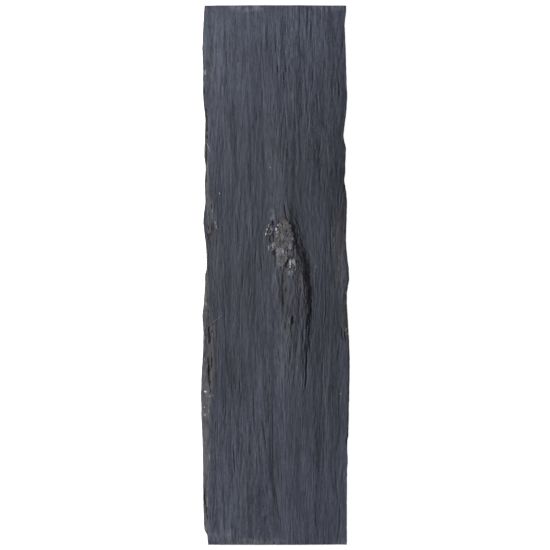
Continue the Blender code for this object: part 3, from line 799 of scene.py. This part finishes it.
def cleft_slate():
    """Dull slate: dark and light streaks along the fibres, painted shade in the hollows and in small nicks,
    a painted highlight where it stands out, clay-brown in places and on the broken sides, scuffed light here
    and there, painted black shade in the cracks, and lighter at the two ends than in the middle, with
    painted light that lifts the shade of the knot's steep face and the right band."""
    material, tree, shader = new_material("cleft slate")
    vector = add(tree, "ShaderNodeAttribute", {"attribute_name": "grain"}).outputs["Vector"]
    brown, worn, relief_shading, broken, shaded_crack, lively, pale_fill_share = (
        attribute_value(tree, label)
        for label in ("brown", "worn", "relief_shading", "broken", "shaded_crack", "lively", "pale_fill_share"))
    broad, middle, fine, clayey, nick_streaks = (
        streak_value(tree, vector, across, along)
        for across, along in ((38, 8), (250, 55), (600, 190), (330, 50), (210, 75)))
    patches = mottle_value(tree, add(tree, "ShaderNodeTexCoord").outputs["Object"], 70)

    # The relief share adds a painted highlight where the slate stands out and painted shade where it lies
    # low.
    mix = weighted(tree, (broad, 0.36), (middle, 0.32), (fine, 0.32), (relief_shading, 0.08))
    contrast = math_node(tree, "MULTIPLY", math_node(tree, "SUBTRACT", mix, 0.5), lively)
    light = stretch(tree, math_node(tree, "ADD", contrast, 0.5), 0.34, 0.66)
    slate = blend(tree, light, SLATE_DARK, SLATE_LIGHT)
    mottled = weighted(tree, (light, 0.5), (stretch(tree, patches, 0.35, 0.65), 0.5))
    clay = blend(tree, mottled, CLAY_DARK, CLAY_LIGHT)
    stained = math_node(tree, "MULTIPLY", brown, stretch(tree, clayey, 0.38, 0.58, 0.15, 1))
    clay_share = math_node(tree, "MAXIMUM", stained, math_node(tree, "MULTIPLY", broken, 0.9))
    colour = blend(tree, clay_share, slate, clay)

    scuffed = stretch(tree, weighted(tree, (patches, 0.5), (middle, 0.5)), 0.40, 0.60)
    colour = blend(tree, math_node(tree, "MULTIPLY", worn, scuffed), colour, SCUFFED)
    # Painted shade: dark streaks for small nicks, and the hollows darker the lower they lie.
    nick_shade = stretch(tree, nick_streaks, 0.26, 0.36, 0.55, 0)
    painted_hollow_shade = stretch(tree, relief_shading, -1, -0.3, 0.5, 0)
    colour = blend(tree, math_node(tree, "MAXIMUM", nick_shade, painted_hollow_shade), colour, SLATE_DARK)
    # Painted shade: the cracks black.
    colour = blend(tree, shaded_crack, colour, CRACK_SHADE)
    # Paler at both ends and in soft spots, with painted light lifting the shade of the steep face and the
    # right band.
    paled_and_lit_colour = add(tree, "ShaderNodeVectorMath", {"operation": "SCALE"}, i0=colour, Scale=pale_fill_share)
    tree.links.new(paled_and_lit_colour.outputs[0], shader.inputs["Base Color"])
    shader.inputs["Roughness"].default_value = 0.66
    shader.inputs["Specular IOR Level"].default_value = 0.35
    grit = math_node(tree, "MULTIPLY", broken, patches)
    set_bump(tree, shader, weighted(tree, (fine, 0.6), (middle, 1), (grit, 1.5)), 0.7, 0.0006)
    return material


SAWN_DARK = (0.046, 0.050, 0.058, 1)
SAWN_LIGHT = (0.088, 0.095, 0.108, 1)


def sawn_slate():
    """The sawn ends: flat grey slate with fine upright saw marks and thin darker layers across."""
    material, tree, shader = new_material("sawn slate")
    place = add(tree, "ShaderNodeTexCoord").outputs["Object"]
    marks = mottle_value(tree, scaled(tree, place, (1, 1, 0.12)), 420)
    layers = mottle_value(tree, scaled(tree, place, (0.06, 0.06, 1)), 260)
    share = stretch(tree, weighted(tree, (marks, 0.5), (layers, 0.5)), 0.40, 0.60)
    tree.links.new(blend(tree, share, SAWN_DARK, SAWN_LIGHT), shader.inputs["Base Color"])
    shader.inputs["Roughness"].default_value = 0.55
    set_bump(tree, shader, marks, 0.5, 0.0004)
    return material


stone.data.materials.append(cleft_slate())
stone.data.materials.append(sawn_slate())
for cap in stone.data.polygons[-2:]:
    cap.material_index = 1

# ---------------------------------------------------------------------------------------------------------
# The crust on the knot. The real piece is a patch of grey mineral grown into the slate: rough brown-grey
# lumps with small pale crystal faces, broken off flat where the slate was split. It is one with the stone.
# ---------------------------------------------------------------------------------------------------------

# The crust's plates: (X, Y, half-width, half-length, turn in degrees, thickness, rise to the right over
# its half-width, rise to the top over its half-length, how pale, how warm: 1 tan, -1 bluish). The wide dark
# ones come first, then its faces.
PLATES = (
    (13, 98, 8.5, 7, 0, 1.8, 0.3, -0.5, 0, 0.5), (17, 87, 13, 9, 0, 2.8, 0.8, 0, 0.02, 0.2),
    (17, 72, 16, 11, 0, 3.2, 0.9, 0, 0.04, -0.1), (16.5, 56, 15.5, 11, 0, 3.2, 0.9, 0, 0.05, -0.1),
    (11.5, 42, 9.5, 10, 0, 3.4, 0.4, 0.2, 0.08, -0.2), (11, 25, 7.5, 15, 4, 3.2, 0.5, 0.4, 0.06, -0.2),
    (34, 21, 6, 9.5, 0, 3.2, 0, 0.4, 0.05, 0), (28, 37, 6, 9, 10, 1.8, 0.2, 0, 0, -0.2),
    (-10.5, 82, 6, 10, 26, 1.4, 0.3, 0.2, 0, -0.3), (-6.5, 52, 6.5, 8, 0, 1.4, 0.3, 0.2, 0.02, 0),
    (29, 3, 5.5, 6, 0, 1.8, 0, 0.3, 0.08, -0.6), (39, 20, 4.5, 14, -5, 1.4, 0.4, 0, 0, 0.1),
    (21.5, 94, 3.6, 6, 28, 4, 0.9, 0.5, 0.07, 0.9), (26, 84, 4.2, 5, -20, 3.8, 0.8, -0.6, 0.04, 0.1),
    (9.5, 92, 3.2, 3.8, 0, 3.8, 0.6, 0.3, 0.1, 1), (14, 72, 4, 7, 10, 4, 0.8, 0.3, 0.13, -0.5),
    (20.5, 75, 3.4, 5, -15, 3.5, -0.8, -0.5, 0.01, 0), (27, 75, 4, 5, 10, 4, 0.6, 0.4, 0.06, 0.1),
    (25, 65, 4, 4, 40, 3.4, 0.8, -0.7, 0.01, 0), (13, 59, 3.8, 4.5, -10, 3.6, 0.7, 0.4, 0.06, -0.4),
    (20.5, 55, 3, 6, 0, 3.3, -0.7, 0, 0, -0.3), (6.5, 62, 1.7, 9, 5, 4.4, -0.5, 0.2, 0.22, -0.1),
    (28, 53, 3.6, 6.2, 8, 4.4, 0.6, 0.4, 0.24, -0.2), (32.6, 67.5, 2, 4.4, 8, 4.4, 0.6, 0.4, 0.2, 0.3),
    (10.5, 44, 6, 7, -20, 4.8, 0.5, 0.5, 0.2, -0.4), (14.5, 43, 2.6, 4.6, -25, 5.2, 0.5, 0.5, 0.4, -0.4),
    (5.5, 35.5, 2.6, 4.2, 20, 4.4, 0.6, -0.3, 0.18, -0.2), (17, 30, 5.5, 7, 15, 4.2, 0.6, -0.6, 0.11, 0.3),
    (8, 24, 4.2, 9, 6, 4.4, -0.7, 0.4, 0.12, -0.3), (13.5, 18, 2.6, 3.6, 20, 3.6, 0.6, -0.4, 0.05, 0),
    (28.4, 21.5, 2, 5, 0, 6.8, 0.8, -0.4, 1, 0), (28.4, 28, 1.2, 3.4, 5, 6.4, 0.5, 0.2, 0.75, 0),
    (27.3, 14.5, 1.7, 2.2, 0, 6.4, 0.6, -0.3, 1, 0), (33.6, 25.4, 3.8, 4.2, 10, 6, 0.6, 0.5, 0.42, 0.1),
    (35.4, 21.4, 3.4, 4.4, -35, 5.7, 0.5, 0.3, 0.38, 0.1), (36, 11, 4, 4, -15, 3.8, 0.8, -0.6, 0.03, 0),
    (26.2, 4.5, 2, 4, 0, 3, 0.4, 0.3, 0.32, -1), (31.2, 4.5, 1.5, 5, 10, 3.2, 0.4, 0.3, 0.45, -0.3),
    (5.4, 93, 2, 2.1, 0, 4.8, 0.5, 0.3, 0.85, 0.3), (1.8, 85, 1.9, 3.2, 8, 5, 0.8, 0.2, 1, 0.5),
    (4.4, 79.5, 3.2, 3.8, 15, 4.2, 0.4, 0.5, 0.34, 1), (11.9, 86, 1.3, 3.4, 0, 4.8, 0.8, 0.4, 0.65, 0.2),
    (7.8, 84, 1.4, 2.8, 0, 4.2, 0.4, 0.3, 0.2, 0.3), (-11.4, 92.6, 1.3, 3.4, 31, 3.8, 0.6, 0.2, 0.85, 0.1),
    (-14.8, 85, 1.6, 2.8, 20, 3.6, 0.6, 0.2, 0.75, 0), (-17, 76.4, 1.6, 3.6, 5, 3.6, 0.6, 0.2, 0.8, 0.1),
    (-16.1, 80.6, 1.2, 2.8, 22, 3, 0.4, 0.2, 0.45, 0), (-6.6, 84.4, 1.8, 4, -45, 3, 0.5, 0.4, 0.42, -1),
    (-10, 76, 3.2, 3, 0, 2.4, 0.4, -0.4, 0.08, 0.2), (-11.5, 50, 1.4, 6, 0, 3.2, 0.6, 0.2, 0.55, -0.1),
    (-3.3, 55.5, 2.4, 4.4, 0, 2.6, 0.4, 0.3, 0.32, 0.3), (-3.3, 60, 2.6, 1.2, 0, 3.6, 0.4, 0.2, 0.9, 0.1),
    (-5.6, 55.6, 1, 4.8, 0, 3.6, 0.5, 0.2, 0.8, 0), (-1.1, 56, 0.9, 4.6, 0, 3.4, 0.2, 0.2, 0.7, 0),
    (-3.4, 51.2, 2.4, 1.1, 0, 3.4, 0.4, 0.2, 0.75, -0.1),
    (-5, 47.4, 1.5, 1.1, 0, 2.8, 0.3, 0.1, 0.45, -0.6),
)
# Holes in the crust: (X, Y, half-width, half-length, turn in degrees, depth).
HOLES = (
    (-3.3, 97, 1.5, 2.2, 0, 5), (-7, 94.4, 2, 1.1, 20, 1.6), (-9, 66.5, 1.2, 4.6, 0, 3),
    (-1.6, 69, 1.2, 8, 0, 4), (-0.4, 41, 1.8, 2.6, 0, 5), (-0.8, 32, 0.9, 7, 0, 3),
    (22.8, 18, 1.7, 5, -10, 5), (24.2, 30, 1, 6, 12, 2.6), (21, 81, 0.9, 2.6, 5, 3),
    (15.5, 75.5, 0.9, 1.8, -20, 1.8), (17.8, 47.5, 1.6, 1.8, 0, 2.2), (11, 13, 2, 2.2, 0, 3),
    (35.6, 13, 1.8, 2, 0, 2.6), (39.3, 26, 0.7, 3, 0, 2.6), (22.4, 61.5, 0.9, 3.2, 20, 1.6),
    (24.4, 46, 0.9, 4, 30, 1.8), (18.5, 22.5, 1, 3, -30, 1.8), (-3.3, 55, 0.9, 1.6, 0, 1.2),
    (16, 64, 0.8, 3.4, -15, 1.4), (10.6, 53, 0.9, 3, 30, 1.4),
)
CRUST_SPAN = ((-25, 47, 144), (-8, 112, 218))  # from X to X and from Y to Y, with steps
CRUST_ROOT = 16  # Z of the crust's hidden underside, inside the stone
PLATE_SHARE = 0.62  # how much of a plate's thickness stands over the stone
CRUST_SUNK = 2.6  # how far the crust's skin lies under the stone where there is no plate
FACETS = (6.2, 2.7)  # sizes of the coarse and the fine broken faces


def shards(x, y, size, seed):
    """Broken crystal faces: each place takes the tilted plane of the nearest of a set of scattered points,
    one in each square of the given size. Returns the plane's height, -1 to 1, its point's own number, and
    how near the place is to the crease between two faces."""
    side = 32
    rng = np.random.default_rng(seed)
    jitter = rng.random((2, side, side))
    tilt = rng.uniform(-1, 1, (3, side, side))
    number = rng.random((side, side))
    column, row = np.floor(x / size).astype(int), np.floor(y / size).astype(int)
    nearest, second = np.full_like(x, 9), np.full_like(x, 9)
    height, tone = np.zeros_like(x), np.zeros_like(x)
    for step_x in (-1, 0, 1):
        for step_y in (-1, 0, 1):
            i, j = (column + step_x) % side, (row + step_y) % side
            dx = x / size - (column + step_x + jitter[0, i, j])
            dy = y / size - (row + step_y + jitter[1, i, j])
            away = dx * dx + dy * dy
            closer = away < nearest
            second = np.where(closer, nearest, np.minimum(second, away))
            plane = 0.7 * (tilt[0, i, j] * dx + tilt[1, i, j] * dy) + 0.45 * tilt[2, i, j]
            height = np.where(closer, plane, height)
            tone = np.where(closer, number[i, j], tone)
            nearest = np.where(closer, away, nearest)
    crease = ease(1 - (np.sqrt(second) - np.sqrt(nearest)) / 0.22)
    return height, tone, crease


def turned(x, y, centre_x, centre_y, half_x, half_y, turn):
    """Place on a turned ellipse, in its own half-widths and half-lengths."""
    cosine, sine = math.cos(math.radians(turn)), math.sin(math.radians(turn))
    dx, dy = x - centre_x, y - centre_y
    return (cosine * dx - sine * dy) / half_x, (sine * dx + cosine * dy) / half_y


def crust_top():
    """Points of the crust's upper side: the stone's form, plus a share of the highest plate less the holes,
    plus coarse and fine broken faces, and sunk under the stone where there is no plate. Returns the points,
    how pale each is, with a few painted glints, how warm, and how grey, with painted shade in the creases
    between broken faces."""
    (x_low, x_high, x_steps), (y_low, y_high, y_steps) = CRUST_SPAN
    x, y = np.meshgrid(np.linspace(x_low, x_high, x_steps + 1), np.linspace(y_low, y_high, y_steps + 1))
    ragged_x = x + 0.7 * noise(x / 3.6, y / 4.4, 101) + 0.7 * noise(x / 1.6, y / 1.8, 102, 256)
    ragged_y = y + 0.8 * noise(x / 3.6, y / 4.4, 103) + 0.8 * noise(x / 1.6, y / 1.8, 104, 256)
    lump, pale, warm = np.zeros_like(x), np.zeros_like(x), np.zeros_like(x)
    for *place, thick, rise_x, rise_y, tone, tan in PLATES:
        u, v = turned(ragged_x, ragged_y, *place)
        away = (np.abs(u) ** 2.5 + np.abs(v) ** 2.5) ** (1 / 2.5)
        inside = ease((1.18 - away) * min(place[2:4]) / 1.3)
        plate = inside * (thick + rise_x * u + rise_y * v)
        pale = np.where(plate > lump, tone, pale)
        warm = np.where(plate > lump, tan, warm)
        lump = np.maximum(lump, plate)
    coarse, coarse_tone, coarse_crease = shards(ragged_x, ragged_y * 0.75, FACETS[0], 105)
    fine, fine_tone, fine_crease = shards(x, y * 0.8, FACETS[1], 106)
    for *place, depth in HOLES:
        u, v = turned(ragged_x, ragged_y, *place)
        inside = ease((1.25 - np.hypot(u, v)) * 1.8)
        lump = lump - depth * inside
        pale = pale * (1 - inside)
    there = ease(lump / 1.4)
    plain = 1 - 0.65 * ease(pale / 0.3)
    rough = (coarse + 0.32 * fine + 0.12 * noise(x / 1.1, y / 1.3, 107, 256)) * plain
    rough = rough - (0.6 * coarse_crease + 0.22 * fine_crease) * plain
    z = broad_form(x, y) + PLATE_SHARE * lump + there * rough - CRUST_SUNK * (1 - there)
    # Random grey for each broken face, with painted shade in the creases between faces.
    grey = 0.68 * coarse_tone + 0.36 * fine_tone - 0.28 * np.maximum(coarse_crease, 0.5 * fine_crease)
    facet = ease(pale / 0.22)
    grey = grey + (0.66 - grey) * 0.7 * facet
    # Random paleness on the crystal faces, and a few fine faces painted pale as glints.
    pale = np.clip(pale * (0.78 + 0.36 * fine_tone) + 0.16 * fine_tone**5 * there, 0, 1)
    return np.stack([x, y, z], axis=2), pale, warm, grey


def closed_patch(top, root):
    """A closed block under a patch of points: the patch, its copy at the level of its root, and four walls.
    Returns the points, top first, and the faces."""
    rows, columns = top.shape[:2]
    bottom = top.copy()
    bottom[:, :, 2] = root
    here = np.arange(rows * columns).reshape(rows, columns)
    upper = np.stack([here[:-1, :-1], here[:-1, 1:], here[1:, 1:], here[1:, :-1]], axis=2).reshape(-1, 4)
    rim = np.concatenate([here[0, :-1], here[:-1, -1], here[-1, :0:-1], here[:0:-1, 0]])
    after = np.roll(rim, -1)
    low = rows * columns
    walls = np.stack([rim, rim + low, after + low, after], axis=1)
    faces = [*upper.tolist(), *(upper[:, ::-1] + low).tolist(), *walls.tolist()]
    return np.concatenate([top.reshape(-1, 3), bottom.reshape(-1, 3)]), faces


CRUST_DARK = (0.0135, 0.013, 0.0165, 1)
CRUST_GREY = (0.064, 0.0625, 0.0765, 1)
CRUST_BROWN = (0.046, 0.042, 0.043, 1)
CRYSTAL = (0.34, 0.34, 0.34, 1)
CRUST_TAN = (1, 0.88, 0.74, 1)  # this and the next multiply the colour under them
CRUST_BLUE = (0.84, 0.90, 1.06, 1)


def crust_stone():
    """Rough grey-brown mineral with pale, slightly glossy crystal faces and painted shade in its creases."""
    material, tree, shader = new_material("knot crust")
    pale, tan, blue, grey = (attribute_value(tree, label) for label in ("pale", "tan", "blue", "grey"))
    place = add(tree, "ShaderNodeTexCoord").outputs["Object"]
    mottle, grit = mottle_value(tree, place, 120), mottle_value(tree, place, 800)
    share = stretch(tree, weighted(tree, (mottle, 0.5), (grey, 0.5)), 0.22, 0.62)
    colour = blend(tree, share, CRUST_DARK, CRUST_GREY)
    colour = blend(tree, stretch(tree, grit, 0.50, 0.68, 0, 0.35), colour, CRUST_BROWN)
    colour = blend(tree, pale, colour, CRYSTAL)
    colour = blend(tree, tan, colour, CRUST_TAN, "MULTIPLY")
    colour = blend(tree, blue, colour, CRUST_BLUE, "MULTIPLY")
    tree.links.new(colour, shader.inputs["Base Color"])
    tree.links.new(stretch(tree, pale, 0, 1, 0.72, 0.38), shader.inputs["Roughness"])
    shader.inputs["Specular IOR Level"].default_value = 0.5
    set_bump(tree, shader, weighted(tree, (mottle, 1), (grit, 0.4)), 0.7, 0.0006)
    return material


CRYSTAL_EDGE = 35  # the same for the crust

top, pale, warm, grey = crust_top()
crust_points, crust_faces = closed_patch(top, CRUST_ROOT)
tints = {"pale": pale, "tan": np.clip(warm, 0, 1), "blue": np.clip(-warm, 0, 1), "grey": grey}
crust = make_piece("knot_crust", crust_points, crust_faces, {
    label: np.tile(values.ravel(), 2) for label, values in tints.items()
})
crust.data.shade_smooth()
crust.data.set_sharp_from_angle(angle=math.radians(CRYSTAL_EDGE))
crust.data.materials.append(crust_stone())
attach(crust, "root")
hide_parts(NODE)

# ---------------------------------------------------------------------------------------------------------
# The flecks. The real ones are chips of pale mineral that stick to the stone and fresh scratch marks on it,
# most of them along the left broken side. Each is a thin flake that lies flat on the stone.
# ---------------------------------------------------------------------------------------------------------

# (X, Y, half-width, half-length, turn in degrees, shade: 0 grey, 1 white, 2 bluish, 3 rusty).
FLECKS = (
    (-131, -155.6, 1.2, 4.2, 0, 0), (-129.8, -215.8, 2.2, 3, 20, 1), (-131.4, -245.5, 1.2, 1.5, 0, 1),
    (-131, -259, 1.9, 3.2, 0, 3), (-121, -224.5, 3.6, 2.2, -14, 0), (-116, -223, 3.6, 1.3, -18, 0),
    (-124.4, 239.5, 1.3, 5.6, -19, 2), (-121.4, 231.6, 1.8, 2.3, -20, 0), (-103.3, 151.2, 1, 1.1, 0, 1),
    (-80, 144.6, 0.7, 0.8, 0, 0), (-60.2, 145, 0.8, 0.7, 0, 0), (-47, 144.8, 0.6, 0.6, 0, 0),
    (-33, 144.9, 0.7, 0.7, 0, 0), (-20, 144.4, 0.6, 0.6, 0, 0), (-128.2, -53.5, 1.4, 4.2, 0, 3),
    (-117.6, -89.8, 1.3, 0.7, -38, 2), (-114.6, -87.4, 1.4, 0.7, -38, 2), (-111.3, -84.9, 1.3, 0.7, -38, 2),
    (-108.3, -82.5, 1.4, 0.7, -38, 2), (-105.2, -80, 1.2, 0.7, -38, 2), (-102.3, -77.8, 1.3, 0.7, -38, 2),
    (-99.5, -75.2, 1.1, 0.7, -38, 2), (71, 273, 2.2, 0.45, 35, 3), (75.5, 268, 2, 0.45, 40, 3),
    (67.5, 277.5, 1.4, 0.5, 30, 3), (131.6, -101, 1.4, 4.4, 8, 3), (133.6, -108, 1.2, 3, 0, 0),
    (-116.2, 120, 0.8, 5.5, 4, 2), (-115.4, 108, 0.7, 4.5, -4, 2), (-111, 97.5, 0.9, 4, -14, 2),
    (-108.6, 88.5, 1, 4.4, -12, 2), (-103.6, 91, 0.7, 0.8, 0, 2), (-97.8, 92.6, 0.6, 0.7, 0, 2),
    (75.6, 15.8, 1.3, 3.8, 34, 0), (73, 8, 0.7, 2.6, 10, 0), (-121.2, -338, 1.4, 5.4, 0, 2),
    (-122.4, -318, 0.9, 3.4, 0, 0), (-125.6, -421.5, 1.7, 11, 3, 0), (-129.8, 376, 1.1, 5, 0, 1),
    (-130.2, 350, 0.8, 7, 0, 0), (-130.6, -116.5, 1.6, 4, 0, 0), (26.4, -86, 1.5, 1.8, 0, 0),
    (25.6, -80, 1, 1.6, 20, 0), (40.6, -158, 0.5, 6, 0, 3), (41.8, -170, 0.6, 3.5, 0, 3),
    (-20.4, -92, 0.45, 2, 0, 3), (22, 436, 0.8, 4, 0, 0), (-36, 446, 0.45, 3, 8, 3),
    (96, -298, 0.9, 2, 0, 0), (100.6, -300, 0.8, 1.8, 20, 0), (90, -402, 0.8, 1.2, 0, 0),
    (-60, 226, 0.6, 0.8, 0, 0), (62, 402, 0.6, 1.6, 0, 0), (-123.4, -240, 0.7, 5, 0, 0),
    (-123.3, -253, 0.7, 4, 0, 0), (-123.6, -262, 0.6, 3, 0, 0), (-123.8, -366, 0.9, 5, 0, 0),
    (-124, -374, 0.5, 3.4, 0, 0), (-124.2, -398, 0.7, 5, 0, 0), (107.4, 84, 0.5, 6, 4, 0),
    (108.6, 66, 0.5, 5, 6, 0), (109.8, 50, 0.5, 6, 8, 0), (114, 28, 0.5, 4, 10, 0),
    (118.4, 12, 0.5, 3.4, 12, 0), (111, 98, 0.4, 4, -6, 0), (-124.6, 116, 0.6, 5, 0, 0),
    (-123.9, 104, 1, 6.5, 0, 0), (-125.6, 84, 0.6, 6, 4, 0), (-128, 132.5, 0.9, 2.4, 10, 0),
    (120.9, -220.3, 0.9, 1.2, 0, 1), (-8.8, 199.4, 0.9, 1.1, 0, 1), (-105.2, 84.5, 0.8, 1, 0, 2),
    (-123.7, -356.5, 0.7, 2.2, 0, 0),
)
CORNERS = 8  # points of a flake's ring
FLAKE_LEVELS = (0.75, 0.1, -1.5)  # of its middle above, its ring and its middle below, over the stone


def flake_points():
    """Points of the flecks: for each a middle above, a ragged ring round it, and a middle below."""
    rng = np.random.default_rng(120)
    middle_x, middle_y, half_x, half_y, turn, _ = np.split(np.array(FLECKS, float), 6, axis=1)
    reach = 1 + rng.uniform(-0.32, 0.32, (len(FLECKS), CORNERS))
    angle, turn = 2 * np.pi * np.arange(CORNERS) / CORNERS, np.radians(turn)
    u, v = reach * np.cos(angle) * half_x, reach * np.sin(angle) * half_y
    x = np.concatenate([middle_x, middle_x + np.cos(turn) * u + np.sin(turn) * v, middle_x], axis=1)
    y = np.concatenate([middle_y, middle_y - np.sin(turn) * u + np.cos(turn) * v, middle_y], axis=1)
    above, ring, below = FLAKE_LEVELS
    lift = np.array([above, *[ring] * CORNERS, below])
    return np.stack([x, y, face_height(x, y) + lift], axis=2)


def flake_faces(count):
    """Triangles from each ring to its two middles."""
    top = np.arange(count)[:, None] * (CORNERS + 2) + np.zeros(CORNERS, int)
    here = top + np.arange(1, CORNERS + 1)
    after = np.roll(here, -1, axis=1)
    above = np.stack([top, here, after], axis=2)
    below = np.stack([top + CORNERS + 1, after, here], axis=2)
    return np.concatenate([above.reshape(-1, 3), below.reshape(-1, 3)]).tolist()


FLECK_SHADES = (
    (0.135, 0.130, 0.124, 1), (0.50, 0.49, 0.47, 1), (0.17, 0.19, 0.23, 1), (0.20, 0.135, 0.085, 1),
)


def fleck_mineral():
    """Four shades of pale mineral, chosen by each flake's own number, and mottled with slate."""
    material, tree, shader = new_material("flecks")
    shade = attribute_value(tree, "shade")
    patchy = mottle_value(tree, add(tree, "ShaderNodeTexCoord").outputs["Object"], 900)
    colour = FLECK_SHADES[0]
    for number, tint in enumerate(FLECK_SHADES[1:]):
        colour = blend(tree, math_node(tree, "GREATER_THAN", shade, number + 0.5), colour, tint)
    colour = blend(tree, stretch(tree, patchy, 0.42, 0.60, 0, 0.55), colour, SLATE_LIGHT)
    tree.links.new(colour, shader.inputs["Base Color"])
    shader.inputs["Roughness"].default_value = 0.6
    return material


flake_shades = np.repeat([fleck[-1] for fleck in FLECKS], CORNERS + 2)
flecks = make_piece("flecks", flake_points(), flake_faces(len(FLECKS)), {"shade": flake_shades})
flecks.data.materials.append(fleck_mineral())
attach(flecks, "root")
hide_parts(NODE)

# ---------------------------------------------------------------------------------------------------------
# The studio. A pale floor under the slab that glows a little, as a light table does, one soft key light up
# and to the left, and a bright room round it. The camera looks straight down on the cleft face.
# ---------------------------------------------------------------------------------------------------------


def studio_floor():
    """A flat pale sheet just under the slab's back."""
    half, below = 4, -0.0004
    mesh = bpy.data.meshes.new("studio_floor")
    corners = [(-half, -half, below), (half, -half, below), (half, half, below), (-half, half, below)]
    mesh.from_pydata(corners, [], [(0, 1, 2, 3)])
    material, _, shader = new_material("pale floor")
    shader.inputs["Base Color"].default_value = (0.92, 0.92, 0.92, 1)
    shader.inputs["Roughness"].default_value = 0.9
    shader.inputs["Emission Color"].default_value = (1, 1, 1, 1)
    shader.inputs["Emission Strength"].default_value = 0.85
    mesh.materials.append(material)
    floor = bpy.data.objects.new("studio_floor", mesh)
    bpy.context.scene.collection.objects.link(floor)


def soft_light(name, place, target, size, power):
    """A square area light at a place, aimed at a target."""
    light = bpy.data.lights.new(name, "AREA")
    light.shape = "SQUARE"
    light.size = size
    light.energy = power
    light.spread = math.radians(110)
    lamp = bpy.data.objects.new(name, light)
    lamp.location = place
    lamp.rotation_euler = (Vector(place) - Vector(target)).to_track_quat("Z", "Y").to_euler()
    bpy.context.scene.collection.objects.link(lamp)


def camera_above():
    """A long lens over the middle of the slab, with the head end at the top of the picture."""
    lens = bpy.data.cameras.new("camera")
    lens.lens = 100
    lens.sensor_width = 36
    lens.clip_end = 50
    view = bpy.data.objects.new("camera", lens)
    view_width, face_level = 1.01915, 0.028
    view.location = (-0.0005, 0.0002, view_width * lens.lens / lens.sensor_width + face_level)
    view.rotation_euler = (0, 0, 0)
    bpy.context.scene.collection.objects.link(view)
    bpy.context.scene.camera = view


studio_floor()
soft_light("key", place=(-1.12, 0.10, 0.98), target=(0, 0, 0), size=0.6, power=9.2)
camera_above()
world = bpy.data.worlds.new("bright room")
bpy.context.scene.world = world
world.use_nodes = True
world.node_tree.nodes["Background"].inputs["Color"].default_value = (1, 1, 1, 1)
world.node_tree.nodes["Background"].inputs["Strength"].default_value = 0.24
bpy.context.scene.view_settings.view_transform = "Standard"
